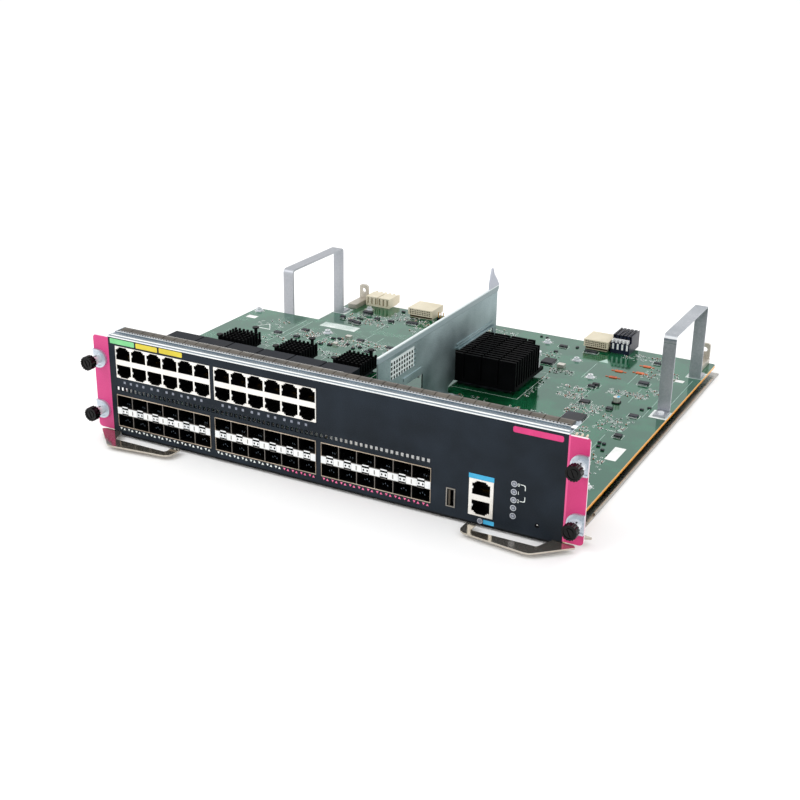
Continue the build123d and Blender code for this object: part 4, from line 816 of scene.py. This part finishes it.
# Plated rings with dots round the board screws, and a painted shade as a dark cross in each of their heads
screws = {"headFrom": 6, "headTo": 7, "ring": 8.4, "dotAt": 5.2, "dots": 8, "dot": 1.1, "crossLong": 2.6,
          "crossWide": 0.5, "crossDown": 0.03}
ringRows, dotRows, crossRows = [], [], []
for x0, y0, z0, x1, y1, z1 in solidBoxes("board_screws"):
    if not screws["headFrom"] < x1 - x0 < screws["headTo"]:
        continue
    x, y = (x0 + x1) / 2, (y0 + y1) / 2
    ringRows.append((x, y, z0, screws["ring"], screws["ring"], 0.04))
    for angle in np.arange(screws["dots"]) * 2 * pi / screws["dots"]:
        dotRows.append((x + screws["dotAt"] * np.cos(angle), y + screws["dotAt"] * np.sin(angle), z0,
                        screws["dot"], screws["dot"], 0.05))
    for isLong in (True, False):
        crossSize = laid(screws["crossLong"], screws["crossWide"], isLong)
        crossRows.append((x, y, z1 - screws["crossDown"], *crossSize, 0.05))
addShape("screwCrossShades", crossRows, "mouldedBlack")
addShape("screwRings", ringRows, "tinSolder", outline=circle(32))
addShape("screwDots", dotRows, "tinSolder", outline=circle(10))

# Copper bridges with an end each side
bridges = {"wide": 7.8, "deep": 3.8, "radius": 1.7, "layer": 0.08, "endAt": 5.6, "endWide": 2.2,
           "endDeep": 1.2, "endTall": 0.4,
           "places": ((115.5, 310.4), (115.9, 293.8), (133.3, 333.4), (133.0, 314.9))}
addShape("copperBridges", [(x, y, deckTop, 1, 1, bridges["layer"]) for x, y in bridges["places"]],
         "bareCopper", outline=rounded(bridges["wide"], bridges["deep"], bridges["radius"]),
         levels=((0, 0), (0, 8), (0.5, 12)))
addShape("copperEnds", [(x + side * bridges["endAt"], y, deckTop, bridges["endWide"], bridges["endDeep"],
                         bridges["endTall"]) for x, y in bridges["places"] for side in (-1, 1)],
         "bareCopper")
print("boards dressed")

# White contacts down the black connector's front, and rows of slots in its top, their dark a painted shade
prongs = {"count": 4, "fromEnd": 2.3, "up": 6.4, "wide": 1.7, "tall": 5.4, "thick": 0.1}
slits = {"front": 6, "back": 3, "pitch": 4.2, "wide": 2.6, "deep": 1.6, "thick": 0.05}
low, high = boxOf("power_connector_black")
prongX = np.linspace(low[0] + prongs["fromEnd"], high[0] - prongs["fromEnd"], prongs["count"])
addShape("connectorProngs", [(x, low[1], low[2] + prongs["up"], prongs["wide"], prongs["tall"],
                              prongs["thick"]) for x in prongX], "milkyGuide", facing="front")
slitY = np.arange(low[1] + slits["front"], high[1] - slits["back"], slits["pitch"])
addShape("connectorSlotShades", [(x, y, high[2] - 0.02, slits["wide"], slits["deep"], slits["thick"])
                            for x in prongX for y in slitY], "anodisedBlack")

# Blue mark on the capacitor's top, and the black base that it stands on
addShape("capacitorMark", (138.9, 240.6, deckTop + 5.2, 2.2, 3.6, 0.05), "blueField")
addShape("capacitorBase", (137.7, 240, deckTop, 6.8, 6.8, 1.0), "mouldedBlack",
         outline=rounded(1, 1, 0.2), levels=((0, 0), (0, 0.9), (0.05, 1)))

# Floor at the part's lowest point, a pale sky and three soft lights
studio = {"floor": 40, "paint": "#fcfcfc", "rough": 0.75, "sky": 1.04, "aim": (0, 0.18, 0.03)}
bpy.ops.mesh.primitive_plane_add(size=studio["floor"], location=(0, 0, cadBox[0][2]))
floor = bpy.context.object
floor.name = "floor"
floorPaint, tree, shader, place = startMaterial("palePaint", {"Roughness": studio["rough"]})
shader.inputs["Base Color"].default_value = linear(studio["paint"])
floor.data.materials.append(floorPaint)

world = bpy.data.worlds.new("studio")
bpy.context.scene.world = world
world.use_nodes = True
sky = world.node_tree.nodes["Background"]
sky.inputs["Color"].default_value = (1, 1, 1, 1)
sky.inputs["Strength"].default_value = studio["sky"]
lights = {  # name: place, size, power
    "key": ((-0.7, -0.8, 1.1), 0.9, 8), "fill": ((1.6, -0.8, 1.1), 1.2, 3), "back": ((0.5, 2.0, 1.6), 1.6, 8)}
for name, (spot, size, power) in lights.items():
    lamp = bpy.data.lights.new(name, "AREA")
    lamp.size, lamp.energy = size, power
    holder = bpy.data.objects.new(name, lamp)
    holder.location = spot
    holder.rotation_euler = (Vector(studio["aim"]) - Vector(spot)).to_track_quat("-Z", "Y").to_euler()
    bpy.context.scene.collection.objects.link(holder)
print("floor and lights")
